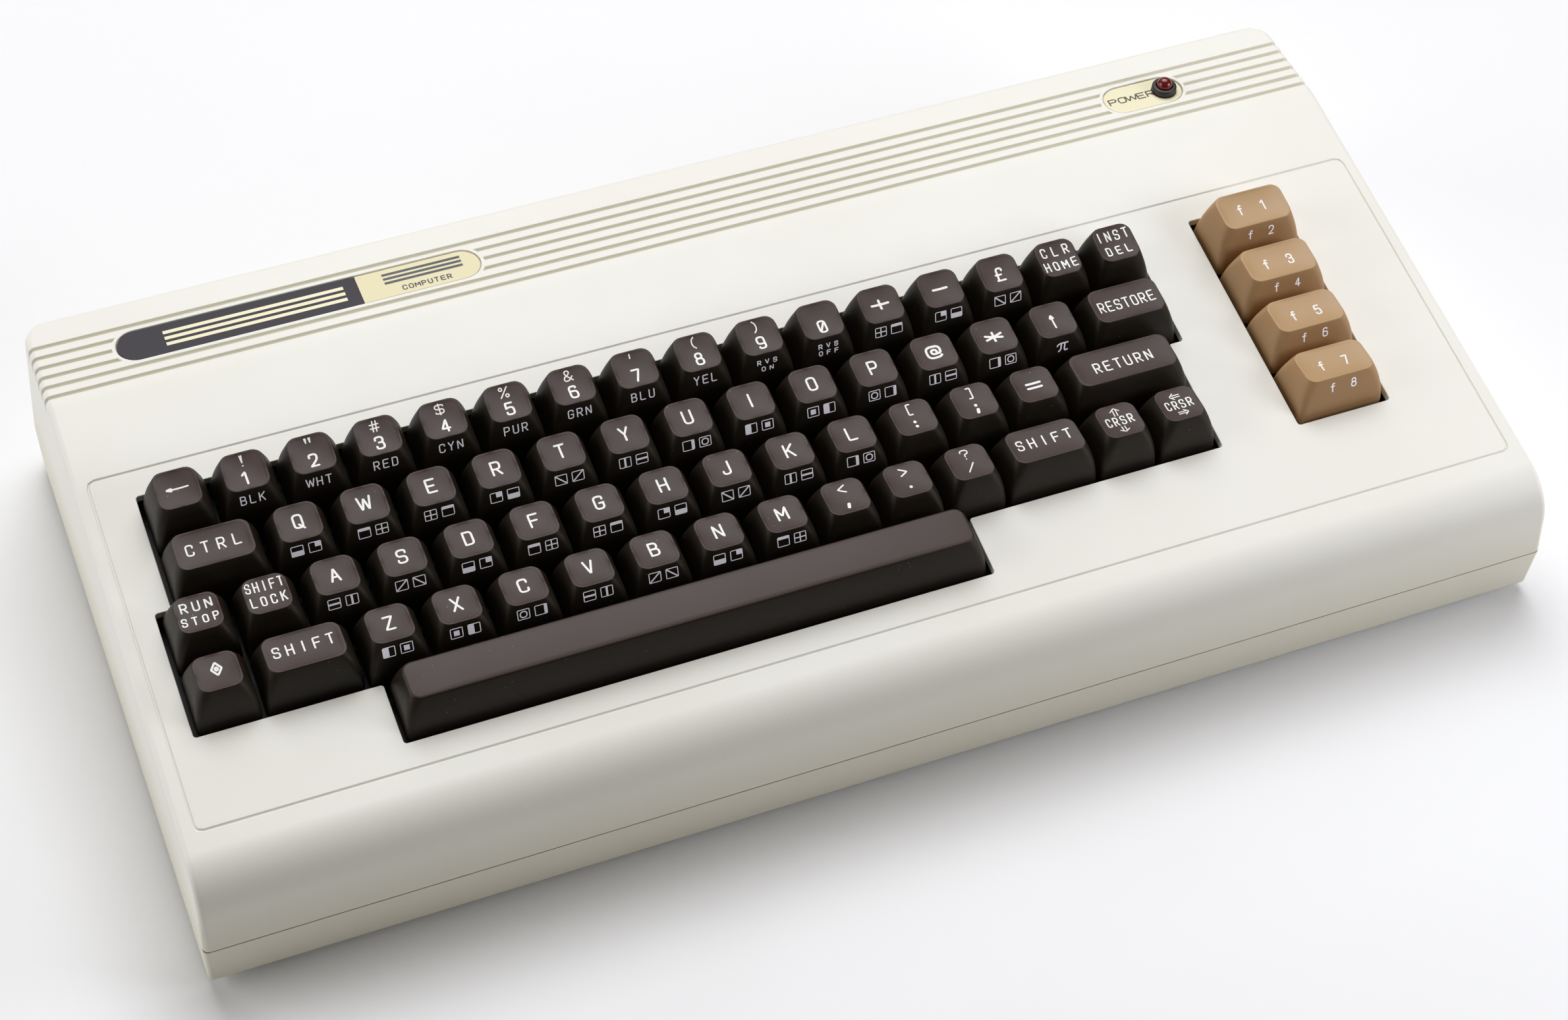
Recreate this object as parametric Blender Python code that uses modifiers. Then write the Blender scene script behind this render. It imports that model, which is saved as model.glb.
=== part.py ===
"""A vintage home computer with its keyboard in a wedge shaped moulded housing.

The two housing shells, the keyboard, the boards, the sockets, the power switch and the power lamp are
separate solids in metres, +Z up. The origin is at the centre of the footprint on the table, +X is to
the right of someone typing and +Y points to the rear.
"""
import math

import bmesh
import bpy
from mathutils import Matrix, Vector

# Housing, outside
BAND_DEPTH = 0.0363
SEAM_HEIGHT = 0.0191
BASE_HEIGHT = 0.0025
WALL = 0.0028
DECK_TILT = math.radians(8.8)
BAND_FALL = math.radians(1.3)
FRONT_LEAN = math.radians(5.3)
REAR_LEAN = math.radians(13.0)
SIDE_DRAFT = math.radians(2.1)
BASE_DRAFT = math.radians(5.0)
BASE_SIDE_DRAFT = math.radians(1.2)
NOSE_RADIUS = 0.0150
REAR_CORNER_RADIUS = 0.0070
EDGE_RADIUS = 0.0020
BASE_EDGE_RADIUS = 0.0015
SEAM_GAP = 0.0007
FIT = 0.0003
OVERRUN = 0.0060

# Keyboard layout on the sloping deck
PITCH = 0.01905
KEYS_BEHIND_NOSE = 0.0470
RIDGE_BEHIND_KEYS = 0.0358
KEYBOARD_MARGIN = 0.0186
FUNCTION_GAP = 0.0221
FUNCTION_MARGIN = 0.0333
KEYBOARD_CLEARANCE = 0.00835
APERTURE_GAP = 0.00095
APERTURE_RADIUS = 0.0008
KEY_ROW_COUNT = 4

# Key caps and their stems, heights measured from the deck
KEY_GAP = 0.0010
KEY_TRAVEL = 0.0038
CAP_TOP = 0.0124
CAP_BOTTOM = -0.0030
CAP_SIDE_INSET = 0.00255
CAP_FRONT_INSET = 0.0047
CAP_REAR_INSET = 0.0008
CAP_EDGE = 0.0007
CAP_DISH = 0.0009
CAP_BASE_RADIUS = 0.0015
CAP_TOP_RADIUS = 0.0030
CAP_TILT = math.radians(10.0)
WAIST_HEIGHT_SHARE = 0.60
WAIST_INSET_SHARE = 0.30
DISH_SHARE = 0.55
STEM_SIDE = 0.0060
STEM_STOP_GAP = 0.0007

# Keyboard frame and board, heights measured from the deck
CAP_CLEARANCE = 0.0022
FRAME_PLATE = 0.0040
FRAME_RIM_DEPTH = 0.0070
FRAME_RIM = 0.0020
FRAME_FLANGE = 0.0070
FRAME_BOSS_RADIUS = 0.0030
BOARD_THICKNESS = 0.0016

# Engraved line round the keyboard
LINE_MARGIN_SIDE = 0.0045
LINE_FRONT = 0.0284
LINE_BEHIND_KEYS = 0.0099
LINE_RADIUS = 0.0025
LINE_WIDTH = 0.0007
LINE_DEPTH = 0.0005

# Ribbed band behind the deck, places measured from the ridge
GROOVE_COUNT = 6
GROOVE_PITCH = 0.0041
GROOVE_START = 0.0052
GROOVE_WIDTH = 0.0014
GROOVE_FLOOR = 0.0007
GROOVE_DEPTH = 0.0020
NOTCH_REACH = 0.0015
NOTCH_DROP = 0.0048
STOPPED_GROOVES = (2, 3, 4)
BADGE_HEIGHT = 0.0116
BADGE_LENGTH = 0.1092
BADGE_INSET = 0.0257
LABEL_LENGTH = 0.0261
LABEL_INSET = 0.04075
PLATE_RIM = 0.0014
PLATE_THICKNESS = 0.0007
PLATE_RECESS = 0.0013

# Power lamp and its holder
LAMP_INSET = 0.00565
LAMP_RADIUS = 0.0025
LAMP_TOP = 0.0052
LAMP_FLANGE = 0.0005
LAMP_FLANGE_HEIGHT = 0.0012
HOLDER_RADIUS = 0.0039
HOLDER_HEIGHT = 0.0023
HOLDER_CHAMFER = 0.0005
HOLDER_WALL = 0.0009
HOLDER_NECK = 0.0060

# Main board and what stands on it
BOARD_LIFT = 0.0100
BOARD_SIDE_MARGIN = 0.0072
BOARD_REAR_MARGIN = 0.0060
BOARD_FRONT_MARGIN = 0.0432
EDGE_TAB_REACH = 0.0028
CHIP_WIDTH = 0.0370
CHIP_DEPTH = 0.0140
CHIP_HEIGHT = 0.0036
CHIP_STEP = 0.0300
CHIP_ROW_STEP = 0.0560
CHIP_ROWS = 3
CHIP_COLUMNS = 5

# Rear ports, their places as shares of the housing's width from its middle
CARTRIDGE_SHARE = 0.2455
CARTRIDGE_WIDTH = 0.1420
CARTRIDGE_THICKNESS = 0.0210
CARTRIDGE_DEPTH = 0.0320
CONNECTOR_WIDTH = 0.0950
CONNECTOR_DEPTH = 0.0090
CONNECTOR_HEIGHT = 0.0124
CONNECTOR_SLOT_WIDTH = 0.0870
CONNECTOR_SLOT_HEIGHT = 0.0020
CONNECTOR_SLOT_DEPTH = 0.0070
VIDEO_SHARE = 0.0098
SERIAL_SHARE = -0.0589
CASSETTE_SHARE = -0.1473
CASSETTE_TAB = 0.0240
USER_SHARE = -0.3044
USER_TAB = 0.0480
TAB_WINDOW_MARGIN = 0.0060
TAB_WINDOW_ABOVE = 0.0062
TAB_WINDOW_BELOW = 0.0052
SOCKET_SIDE = 0.0180
SOCKET_DEPTH = 0.0160
SOCKET_RECESS = 0.0060
SOCKET_OUTER_RADIUS = 0.0076
SOCKET_CORE_RADIUS = 0.0060
SOCKET_SET_BACK = 0.0054

# Ports on the right side, their places measured from the rear of the housing
INLET_FROM_REAR = 0.0346
SWITCH_FROM_REAR = 0.0626
CONTROL_FROM_REAR = 0.0966
SIDE_SET_BACK = 0.0012
CONTROL_BODY_WIDTH = 0.0308
CONTROL_BODY_HEIGHT = 0.0125
CONTROL_BODY_DEPTH = 0.0110
CONTROL_SHELL_WIDTH = 0.0189
CONTROL_SHELL_HEIGHT = 0.0104
CONTROL_SHELL_REACH = 0.0062
CONTROL_SHELL_WALL = 0.0010
CONTROL_SHELL_SLANT = 0.0012
SWITCH_LENGTH = 0.0220
SWITCH_HEIGHT = 0.0136
SWITCH_DEPTH = 0.0180
SWITCH_POCKET_DEPTH = 0.0095
ROCKER_HALF_LENGTH = 0.0090
ROCKER_HEIGHT = 0.0090
ROCKER_END = 0.0046
ROCKER_MIDDLE = 0.0030
ROCKER_SHOULDER = 0.0015
ROCKER_FOOT = 0.0030
ROCKER_FOOT_HALF = 0.0025
ROCKER_AXIS_DEPTH = 0.0050
ROCKER_SWING = math.radians(14.0)

# Inside and underside of the lower shell
TONGUE_RISE = 0.0020
TONGUE_DROP = 0.0024
TONGUE_THICKNESS = 0.0012
STANDOFF_RADIUS = 0.0035
STANDOFF_SIDE_MARGIN = 0.0265
STANDOFF_FRONT_MARGIN = 0.0114
STANDOFF_REAR_MARGIN = 0.0486
SCREW_POST_RADIUS = 0.0050
SCREW_WELL_RADIUS = 0.0033
SCREW_WELL_DEPTH = 0.0090
SCREW_POST_SET_BACK = 0.0140
SCREW_SHARE = 0.3682
FOOT_RADIUS = 0.0065
FOOT_TAPER = 0.0008
FOOT_RECESS = 0.0010
FOOT_INSET_SIDE = 0.0240
FOOT_INSET_DEPTH = 0.0280
VENT_LENGTH = 0.0300
VENT_WIDTH = 0.0025
VENT_PITCH = 0.0070
VENT_COUNT = 8
VENT_BANK_REACH = 0.0850

ROUND_STEPS = 10
CORNER_STEPS = 2
PILL_STEPS = 8
TURN_STEPS = 16
BEVEL_STEPS = 3
BEVEL_ANGLE = math.radians(30.0)
MERGE_DISTANCE = 0.00001


def letters(text):
    """One key as wide as the pitch for each letter."""
    return tuple((letter, 1) for letter in text)


# Key rows, front to rear: front edge and left edge, then each key's name and width, as shares of PITCH
KEY_ROW_SHARES = (
    (-1, 2.5, (("space", 9),)),
    (0, -0.25, (("symbol", 1), ("shift_left", 1.5)) + letters("zxcvbnm")
     + (("comma", 1), ("period", 1), ("slash", 1), ("shift_right", 1.5),
        ("cursor_vertical", 1), ("cursor_horizontal", 1))),
    (1, -0.25, (("run_stop", 1), ("shift_lock", 1)) + letters("asdfghjkl")
     + (("colon", 1), ("semicolon", 1), ("equals", 1), ("return", 2))),
    (2, 0, (("ctrl", 1.5),) + letters("qwertyuiop")
     + (("at", 1), ("asterisk", 1), ("up_arrow", 1), ("restore", 1.5))),
    (3, 0, (("left_arrow", 1),) + letters("1234567890")
     + (("plus", 1), ("minus", 1), ("pound", 1), ("home", 1), ("delete", 1))),
)
FUNCTION_KEY_NAMES = ("f7", "f5", "f3", "f1")
FUNCTION_KEY_SHARE = 1.5
KEYS_ON_FRAME = {"symbol", "comma", "period", "slash", "colon", "semicolon", "equals", "at", "asterisk",
                 "up_arrow", "left_arrow", "plus", "minus", "pound", "home", "delete", *"1234567890"}
CAP_TOP_SHARES = (0.80, 0.77, 0.77, 0.82, 1.0)
CAP_TILT_SHARES = (-0.4, -1.0, -0.7, -0.3, 0.2)
SPACE_STEM_SHARES = (-3, 0, 3)
SPACE_SHARES = (-1, 2.5, 9)
ROW_STEP_SHARES = (-0.25, 15.75, 16)
REAR_BOSS_SHARES = (0.05, 0.5, 0.95)
FRONT_BOSS_SHARES = (0.06, 0.72, 0.95)
FRONT_BOSS_ROW_SHARE = 0.5

# Places that follow from the sizes above
FRAME_TOP = CAP_BOTTOM - KEY_TRAVEL - CAP_CLEARANCE
FRAME_BASE = FRAME_TOP - FRAME_RIM_DEPTH
KEYBOARD_BASE = FRAME_BASE - FIT - BOARD_THICKNESS
KEYBOARD_FRONT = SPACE_SHARES[0] * PITCH - APERTURE_GAP - FRAME_FLANGE
STEM_BOTTOM = FRAME_BASE - FIT + KEY_TRAVEL + STEM_STOP_GAP
ROW_WIDTH = ROW_STEP_SHARES[2] * PITCH
FUNCTION_WIDTH = FUNCTION_KEY_SHARE * PITCH
CASE_WIDTH = KEYBOARD_MARGIN + ROW_WIDTH + FUNCTION_GAP + FUNCTION_WIDTH + FUNCTION_MARGIN
KEYBOARD_LEFT = KEYBOARD_MARGIN - CASE_WIDTH / 2
FUNCTION_KEYS_LEFT = KEYBOARD_LEFT + ROW_WIDTH + FUNCTION_GAP
FLOOR_HEIGHT = BASE_HEIGHT + WALL
BOARD_BOTTOM = FLOOR_HEIGHT + BOARD_LIFT
BOARD_TOP = BOARD_BOTTOM + BOARD_THICKNESS
SEAT_HEIGHT = BOARD_TOP + FIT
KEYBOARD_LOWEST = BOARD_TOP + CHIP_HEIGHT + KEYBOARD_CLEARANCE
DECK_Z = KEYBOARD_LOWEST - KEYBOARD_BASE * math.cos(DECK_TILT) - KEYBOARD_FRONT * math.sin(DECK_TILT)
RIDGE_FROM_KEYS = KEY_ROW_COUNT * PITCH + RIDGE_BEHIND_KEYS
RIDGE_HEIGHT = DECK_Z + RIDGE_FROM_KEYS * math.sin(DECK_TILT)
REAR_REACH = BAND_DEPTH + (RIDGE_HEIGHT - SEAM_HEIGHT) * math.tan(REAR_LEAN)
CASE_DEPTH = KEYS_BEHIND_NOSE + RIDGE_FROM_KEYS * math.cos(DECK_TILT) + REAR_REACH
DECK_Y = KEYS_BEHIND_NOSE - CASE_DEPTH / 2
RIDGE_Y = CASE_DEPTH / 2 - REAR_REACH
BOARD_REAR = CASE_DEPTH / 2 - BOARD_REAR_MARGIN
BOARD_FRONT = BOARD_FRONT_MARGIN - CASE_DEPTH / 2
BOARD_HALF = CASE_WIDTH / 2 - BOARD_SIDE_MARGIN
CARTRIDGE_CENTRE = CARTRIDGE_SHARE * CASE_WIDTH
VIDEO_CENTRE = VIDEO_SHARE * CASE_WIDTH
SERIAL_CENTRE = SERIAL_SHARE * CASE_WIDTH
CASSETTE_CENTRE = CASSETTE_SHARE * CASE_WIDTH
USER_CENTRE = USER_SHARE * CASE_WIDTH
INLET_CENTRE = CASE_DEPTH / 2 - INLET_FROM_REAR
SWITCH_CENTRE = CASE_DEPTH / 2 - SWITCH_FROM_REAR
CONTROL_CENTRE = CASE_DEPTH / 2 - CONTROL_FROM_REAR
SIDE_FACE = CASE_WIDTH / 2 - SIDE_SET_BACK
SOCKET_FACE = CASE_DEPTH / 2 - SOCKET_SET_BACK
CONNECTOR_FACE = BOARD_REAR - CARTRIDGE_DEPTH + FIT
CONNECTOR_MIDDLE = SEAT_HEIGHT + CONNECTOR_HEIGHT / 2
PLATE_ROW = GROOVE_START + GROOVE_PITCH * (GROOVE_COUNT / 2)
BADGE_CENTRE = BADGE_INSET + BADGE_LENGTH / 2 - CASE_WIDTH / 2
LABEL_RIGHT = CASE_WIDTH / 2 - LABEL_INSET
LABEL_CENTRE = LABEL_RIGHT - LABEL_LENGTH / 2
LAMP_CENTRE = LABEL_RIGHT - LAMP_INSET
LAMP_HOLE_RADIUS = LAMP_RADIUS + FIT + HOLDER_WALL + FIT
GRIP_HEIGHT = SEAT_HEIGHT + SWITCH_HEIGHT / 2


def clear_scene():
    """Remove the startup objects."""
    for item in list(bpy.data.objects):
        bpy.data.objects.remove(item)


def make_collection(name):
    """A collection linked to the scene."""
    collection = bpy.data.collections.new(name)
    bpy.context.scene.collection.children.link(collection)
    return collection


def make_material(name, colour, roughness, metallic=0.0):
    """A plain Principled material."""
    material = bpy.data.materials.new(name)
    material.use_nodes = True
    shader = material.node_tree.nodes["Principled BSDF"]
    shader.inputs["Base Color"].default_value = (*colour, 1.0)
    shader.inputs["Roughness"].default_value = roughness
    shader.inputs["Metallic"].default_value = metallic
    return material


IVORY = ((0.80, 0.77, 0.68), 0.48)
DARK_BROWN = ((0.055, 0.042, 0.040), 0.42)
TAN = ((0.52, 0.33, 0.17), 0.45)
BLACK = ((0.020, 0.019, 0.019), 0.50)
BOARD_GREEN = ((0.05, 0.20, 0.10), 0.50)
CHARCOAL = ((0.030, 0.030, 0.042), 0.35)
CREAM = ((0.82, 0.74, 0.46), 0.40)
LAMP_RED = ((0.30, 0.010, 0.012), 0.15)
STEEL = ((0.55, 0.55, 0.53), 0.35, 1.0)
RUBBER = ((0.030, 0.030, 0.030), 0.90)


def add_empty(name, location, tilt):
    """An empty that carries pieces set on a tilted face."""
    empty = bpy.data.objects.new(name, None)
    PARTS.objects.link(empty)
    empty.location = location
    empty.rotation_euler.x = tilt
    return empty


def add_object(name, mesh, finish=None, parent=None, location=(0, 0, 0), turn=0.0):
    """A piece with its own material, or a cutter when it has no finish."""
    item = bpy.data.objects.new(name, mesh)
    item.location = location
    item.rotation_euler.z = turn
    item.parent = parent
    if finish is None:
        CUTTERS.objects.link(item)
        item.display_type = "WIRE"
        item.hide_render = True
        return item
    PARTS.objects.link(item)
    mesh.materials.append(make_material(name + "_material", *finish))
    return item


def finish_mesh(name, bm):
    """Turn a bmesh with outward faces into a mesh."""
    bmesh.ops.recalc_face_normals(bm, faces=bm.faces)
    mesh = bpy.data.meshes.new(name)
    bm.to_mesh(mesh)
    bm.free()
    return mesh


def add_boxes(name, spans, finish=None, **placing):
    """Boxes in one object, each from its low corner to its high corner."""
    bm = bmesh.new()
    for low, high in spans:
        size = Vector(high) - Vector(low)
        middle = (Vector(high) + Vector(low)) / 2
        place = Matrix.Translation(middle) @ Matrix.Diagonal((*size, 1))
        bmesh.ops.create_cube(bm, size=1, matrix=place)
    return add_object(name, finish_mesh(name, bm), finish, **placing)


def add_cylinders(name, places, radius, low, high, top_radius=None, finish=None,
                  steps=TURN_STEPS, **placing):
    """Upright round posts or bores at the places given as (x, y), in one object."""
    bm = bmesh.new()
    for x, y in places:
        place = Matrix.Translation((x, y, (low + high) / 2))
        bmesh.ops.create_cone(bm, cap_ends=True, segments=steps, radius1=radius,
                              radius2=radius if top_radius is None else top_radius,
                              depth=high - low, matrix=place)
    return add_object(name, finish_mesh(name, bm), finish, **placing)


def rounded_outline(corners, radii, steps):
    """Replace each corner of a closed outline by an arc; a radius of zero keeps the corner."""
    points = []
    for index, corner in enumerate(corners):
        here = Vector(corner)
        radius = radii[index]
        if radius <= 0:
            points.append(here)
            continue
        back = (Vector(corners[index - 1]) - here).normalized()
        ahead = (Vector(corners[(index + 1) % len(corners)]) - here).normalized()
        half_angle = back.angle(ahead) / 2
        centre = here + (back + ahead).normalized() * (radius / math.sin(half_angle))
        start = here + back * (radius / math.tan(half_angle)) - centre
        sweep = start.angle_signed(here + ahead * (radius / math.tan(half_angle)) - centre)
        for step in range(steps + 1):
            turned = start.copy()
            turned.rotate(Matrix.Rotation(-sweep * step / steps, 2))
            points.append(centre + turned)
    return points


def rectangle(width, depth, radius, steps=CORNER_STEPS):
    """Rounded rectangle about the origin."""
    x = width / 2
    y = depth / 2
    corners = ((-x, -y), (x, -y), (x, y), (-x, y))
    return rounded_outline(corners, (radius,) * len(corners), steps)


def add_prism(name, outline, low, high, finish=None, **placing):
    """A flat outline raised from low to high."""
    bm = bmesh.new()
    face = bm.faces.new([bm.verts.new((x, y, low)) for x, y in outline])
    raised = bmesh.ops.extrude_face_region(bm, geom=[face])
    tops = [item for item in raised["geom"] if isinstance(item, bmesh.types.BMVert)]
    bmesh.ops.translate(bm, vec=(0, 0, high - low), verts=tops)
    return add_object(name, finish_mesh(name, bm), finish, **placing)


def add_turned(name, profile, closed, finish=None, **placing):
    """A turned piece: the profile of (radius, height) spun about its axis."""
    mesh = bpy.data.meshes.new(name)
    count = len(profile)
    edges = [(index, index + 1) for index in range(count - 1)]
    if closed:
        edges.append((count - 1, 0))
    mesh.from_pydata([(radius, 0, height) for radius, height in profile], edges, [])
    item = add_object(name, mesh, finish, **placing)
    screw = item.modifiers.new("turn", "SCREW")
    screw.steps = TURN_STEPS
    screw.render_steps = TURN_STEPS
    screw.use_merge_vertices = True
    screw.merge_threshold = MERGE_DISTANCE
    return item


def combine(target, tool, operation="DIFFERENCE"):
    """Cut the tool from the target, or join it on."""
    modifier = target.modifiers.new(tool.name, "BOOLEAN")
    modifier.operation = operation
    modifier.solver = "EXACT"
    modifier.object = tool


def round_edges(target, width):
    """Round every sharp edge."""
    bevel = target.modifiers.new("rounding", "BEVEL")
    bevel.width = width
    bevel.segments = BEVEL_STEPS
    bevel.limit_method = "ANGLE"
    bevel.angle_limit = BEVEL_ANGLE


def crossing(first, second):
    """Where two lines, each a point and a direction, meet."""
    (start, along), (other, across) = first, second
    gap = other - start
    share = (gap.x * across.y - gap.y * across.x) / (along.x * across.y - along.y * across.x)
    return start + along * share


def side_lines(inset):
    """Front, deck, band and rear lines of the upper shell in (y, z), moved inward by the inset."""
    ridge = Vector((RIDGE_Y, RIDGE_HEIGHT))
    front = Vector((-CASE_DEPTH / 2, SEAM_HEIGHT))
    rear = Vector((CASE_DEPTH / 2, SEAM_HEIGHT))
    lines = (
        (front, Vector((math.sin(FRONT_LEAN), math.cos(FRONT_LEAN)))),
        (ridge, Vector((math.cos(DECK_TILT), math.sin(DECK_TILT)))),
        (ridge, Vector((math.cos(BAND_FALL), -math.sin(BAND_FALL)))),
        (rear, Vector((math.sin(REAR_LEAN), -math.cos(REAR_LEAN)))),
    )
    return [(start + Vector((along.y, -along.x)) * inset, along) for start, along in lines]


def half_width(height, inset):
    """Half the width of the upper shell at a height, inside its draft."""
    return CASE_WIDTH / 2 - inset - (height - SEAM_HEIGHT) * math.tan(SIDE_DRAFT)


def round_rear_corners(bm, radius):
    """Round the two upright corners at the rear of a shell's block."""
    rear = [edge for edge in bm.edges
            if min(vert.co.y for vert in edge.verts) > 0
            and abs(edge.verts[0].co.z - edge.verts[1].co.z) > WALL
            and abs(edge.verts[0].co.x - edge.verts[1].co.x) < CASE_WIDTH / 2]
    bmesh.ops.bevel(bm, geom=rear, offset=radius, segments=PILL_STEPS, profile=0.5, affect="EDGES")


def upper_form(name, inset, low, finish=None):
    """The wedge of the upper shell, moved inward by the inset and open to below the seam."""
    base = (Vector((0, low)), Vector((1, 0)))
    front, deck, band, rear = side_lines(inset)
    corners = [crossing(base, front), crossing(front, deck), crossing(deck, band),
               crossing(band, rear), crossing(rear, base)]
    radii = (0, NOSE_RADIUS - inset, 0, 0, 0)
    outline = rounded_outline(corners, radii, ROUND_STEPS)
    bm = bmesh.new()
    face = bm.faces.new([bm.verts.new((-1, y, z)) for y, z in outline])
    raised = bmesh.ops.extrude_face_region(bm, geom=[face])
    for item in raised["geom"]:
        if isinstance(item, bmesh.types.BMVert):
            item.co.x = 1
    for vert in bm.verts:
        vert.co.x *= half_width(vert.co.z, inset)
    round_rear_corners(bm, REAR_CORNER_RADIUS - inset)
    return add_object(name, finish_mesh(name, bm), finish)


def lower_form(name, inset, low, high, finish=None):
    """The tub of the lower shell, drawn in toward its base."""
    bm = bmesh.new()
    bmesh.ops.create_cube(bm, size=1)
    for vert in bm.verts:
        height = high if vert.co.z > 0 else low
        drop = SEAM_HEIGHT - height
        vert.co.x = math.copysign(CASE_WIDTH / 2 - inset - drop * math.tan(BASE_SIDE_DRAFT), vert.co.x)
        vert.co.y = math.copysign(CASE_DEPTH / 2 - inset - drop * math.tan(BASE_DRAFT), vert.co.y)
        vert.co.z = height
    round_rear_corners(bm, REAR_CORNER_RADIUS - inset)
    return add_object(name, finish_mesh(name, bm), finish)


def wide_block(name, low, high):
    """A block wider than the housing between two heights."""
    reach = CASE_WIDTH / 2 + OVERRUN
    depth = CASE_DEPTH / 2 + OVERRUN
    return add_boxes(name, [((-reach, -depth, low), (reach, depth, high))])


def key_left(share):
    """Place across the deck of a share of the key pitch."""
    return KEYBOARD_LEFT + share * PITCH


def keyboard_aperture(gap):
    """Outline of the main keyboard opening, with its space bar notch and its stepped rows."""
    left_share, right_share, top_share = ROW_STEP_SHARES
    row_share, space_share, width_share = SPACE_SHARES
    step = KEY_ROW_COUNT / 2 * PITCH
    rear = KEY_ROW_COUNT * PITCH + gap
    notch_left = key_left(space_share) - gap
    notch_right = key_left(space_share + width_share) + gap
    notch_front = row_share * PITCH - gap
    corners = (
        (notch_left, notch_front), (notch_right, notch_front), (notch_right, -gap),
        (key_left(right_share) + gap, -gap), (key_left(right_share) + gap, step - gap),
        (key_left(top_share) + gap, step - gap), (key_left(top_share) + gap, rear), (key_left(0) - gap, rear),
        (key_left(0) - gap, step + gap), (key_left(left_share) - gap, step + gap),
        (key_left(left_share) - gap, -gap), (notch_left, -gap),
    )
    return rounded_outline(corners, (APERTURE_RADIUS,) * len(corners), CORNER_STEPS)


def cut_apertures(shell, deck):
    """Open the deck over the main keys and over the function keys."""
    low = -WALL - OVERRUN
    main = add_prism("keyboard_opening", keyboard_aperture(APERTURE_GAP), low, OVERRUN, parent=deck)
    combine(shell, main)
    depth = KEY_ROW_COUNT * PITCH
    outline = rectangle(FUNCTION_WIDTH + 2 * APERTURE_GAP, depth + 2 * APERTURE_GAP, APERTURE_RADIUS)
    middle = (FUNCTION_KEYS_LEFT + FUNCTION_WIDTH / 2, depth / 2, 0)
    side = add_prism("function_key_opening", outline, low, OVERRUN, parent=deck, location=middle)
    combine(shell, side)


def cut_panel_line(shell, deck):
    """Engrave the fine line round the keyboard and the function keys."""
    half = half_width(DECK_Z, LINE_MARGIN_SIDE)
    rear = KEY_ROW_COUNT * PITCH + LINE_BEHIND_KEYS
    middle = (0, (rear - LINE_FRONT) / 2, 0)
    outer = rectangle(2 * half, rear + LINE_FRONT, LINE_RADIUS)
    inner = rectangle(2 * (half - LINE_WIDTH), rear + LINE_FRONT - 2 * LINE_WIDTH, LINE_RADIUS - LINE_WIDTH)
    line = add_prism("panel_line", outer, -LINE_DEPTH, OVERRUN, parent=deck, location=middle)
    core = add_prism("panel_line_core", inner, -OVERRUN, 2 * OVERRUN, parent=deck, location=middle)
    combine(line, core)
    combine(shell, line)


def pill(length, height):
    """A bar with round ends, about the origin."""
    return rectangle(length, height, height / 2 - MERGE_DISTANCE, PILL_STEPS)


def groove_section(place):
    """Cross section of one rib groove in (y, z) of the band."""
    floor = GROOVE_FLOOR / 2
    flare = GROOVE_WIDTH - floor
    return ((place - flare, GROOVE_DEPTH), (place - floor, -GROOVE_DEPTH), (place + floor, -GROOVE_DEPTH),
            (place + flare, GROOVE_DEPTH))


def add_groove_cutter(name, indices, band):
    """Straight rib grooves across the whole width of the band."""
    reach = CASE_WIDTH / 2 + OVERRUN
    bm = bmesh.new()
    for index in indices:
        place = GROOVE_START + GROOVE_PITCH * index
        section = groove_section(place)
        face = bm.faces.new([bm.verts.new((-reach, y, z)) for y, z in section])
        raised = bmesh.ops.extrude_face_region(bm, geom=[face])
        ends = [item for item in raised["geom"] if isinstance(item, bmesh.types.BMVert)]
        bmesh.ops.translate(bm, vec=(2 * reach, 0, 0), verts=ends)
    return add_object(name, finish_mesh(name, bm), parent=band)


def add_groove_notches(band):
    """Short upright cuts where the rib grooves run out over both sides of the housing."""
    edge = half_width(RIDGE_HEIGHT, NOTCH_REACH)
    outer = CASE_WIDTH / 2 + OVERRUN
    spans = []
    for index in range(GROOVE_COUNT):
        place = GROOVE_START + GROOVE_PITCH * index
        rows = (place - GROOVE_WIDTH / 2, place + GROOVE_WIDTH / 2)
        for left, right in ((-outer, -edge), (edge, outer)):
            spans.append(((left, rows[0], -NOTCH_DROP), (right, rows[1], OVERRUN)))
    return add_boxes("groove_notches", spans, parent=band)


def plate_shapes():
    """Name, length and centre of the two plates on the band."""
    return (("badge", BADGE_LENGTH, BADGE_CENTRE), ("label", LABEL_LENGTH, LABEL_CENTRE))


def cut_band(shell, band):
    """Rib grooves, and the two recesses whose rims stop the middle grooves."""
    passing = [index for index in range(GROOVE_COUNT) if index not in STOPPED_GROOVES]
    combine(shell, add_groove_cutter("passing_grooves", passing, band))
    stopped = add_groove_cutter("stopped_grooves", STOPPED_GROOVES, band)
    for name, length, centre in plate_shapes():
        rim = pill(length + 2 * PLATE_RIM, BADGE_HEIGHT + 2 * PLATE_RIM)
        place = (centre, PLATE_ROW, 0)
        island = add_prism(name + "_rim", rim, -2 * OVERRUN, 2 * OVERRUN, parent=band, location=place)
        combine(stopped, island)
    combine(shell, stopped)
    combine(shell, add_groove_notches(band))
    for name, length, centre in plate_shapes():
        outline = pill(length + 2 * FIT, BADGE_HEIGHT + 2 * FIT)
        place = (centre, PLATE_ROW, 0)
        recess = add_prism(name + "_recess", outline, -PLATE_RECESS, OVERRUN, parent=band, location=place)
        combine(shell, recess)
    place = [(LAMP_CENTRE, PLATE_ROW)]
    hole = add_cylinders("lamp_hole", place, LAMP_HOLE_RADIUS, -WALL - OVERRUN, OVERRUN, parent=band)
    combine(shell, hole)


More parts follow.
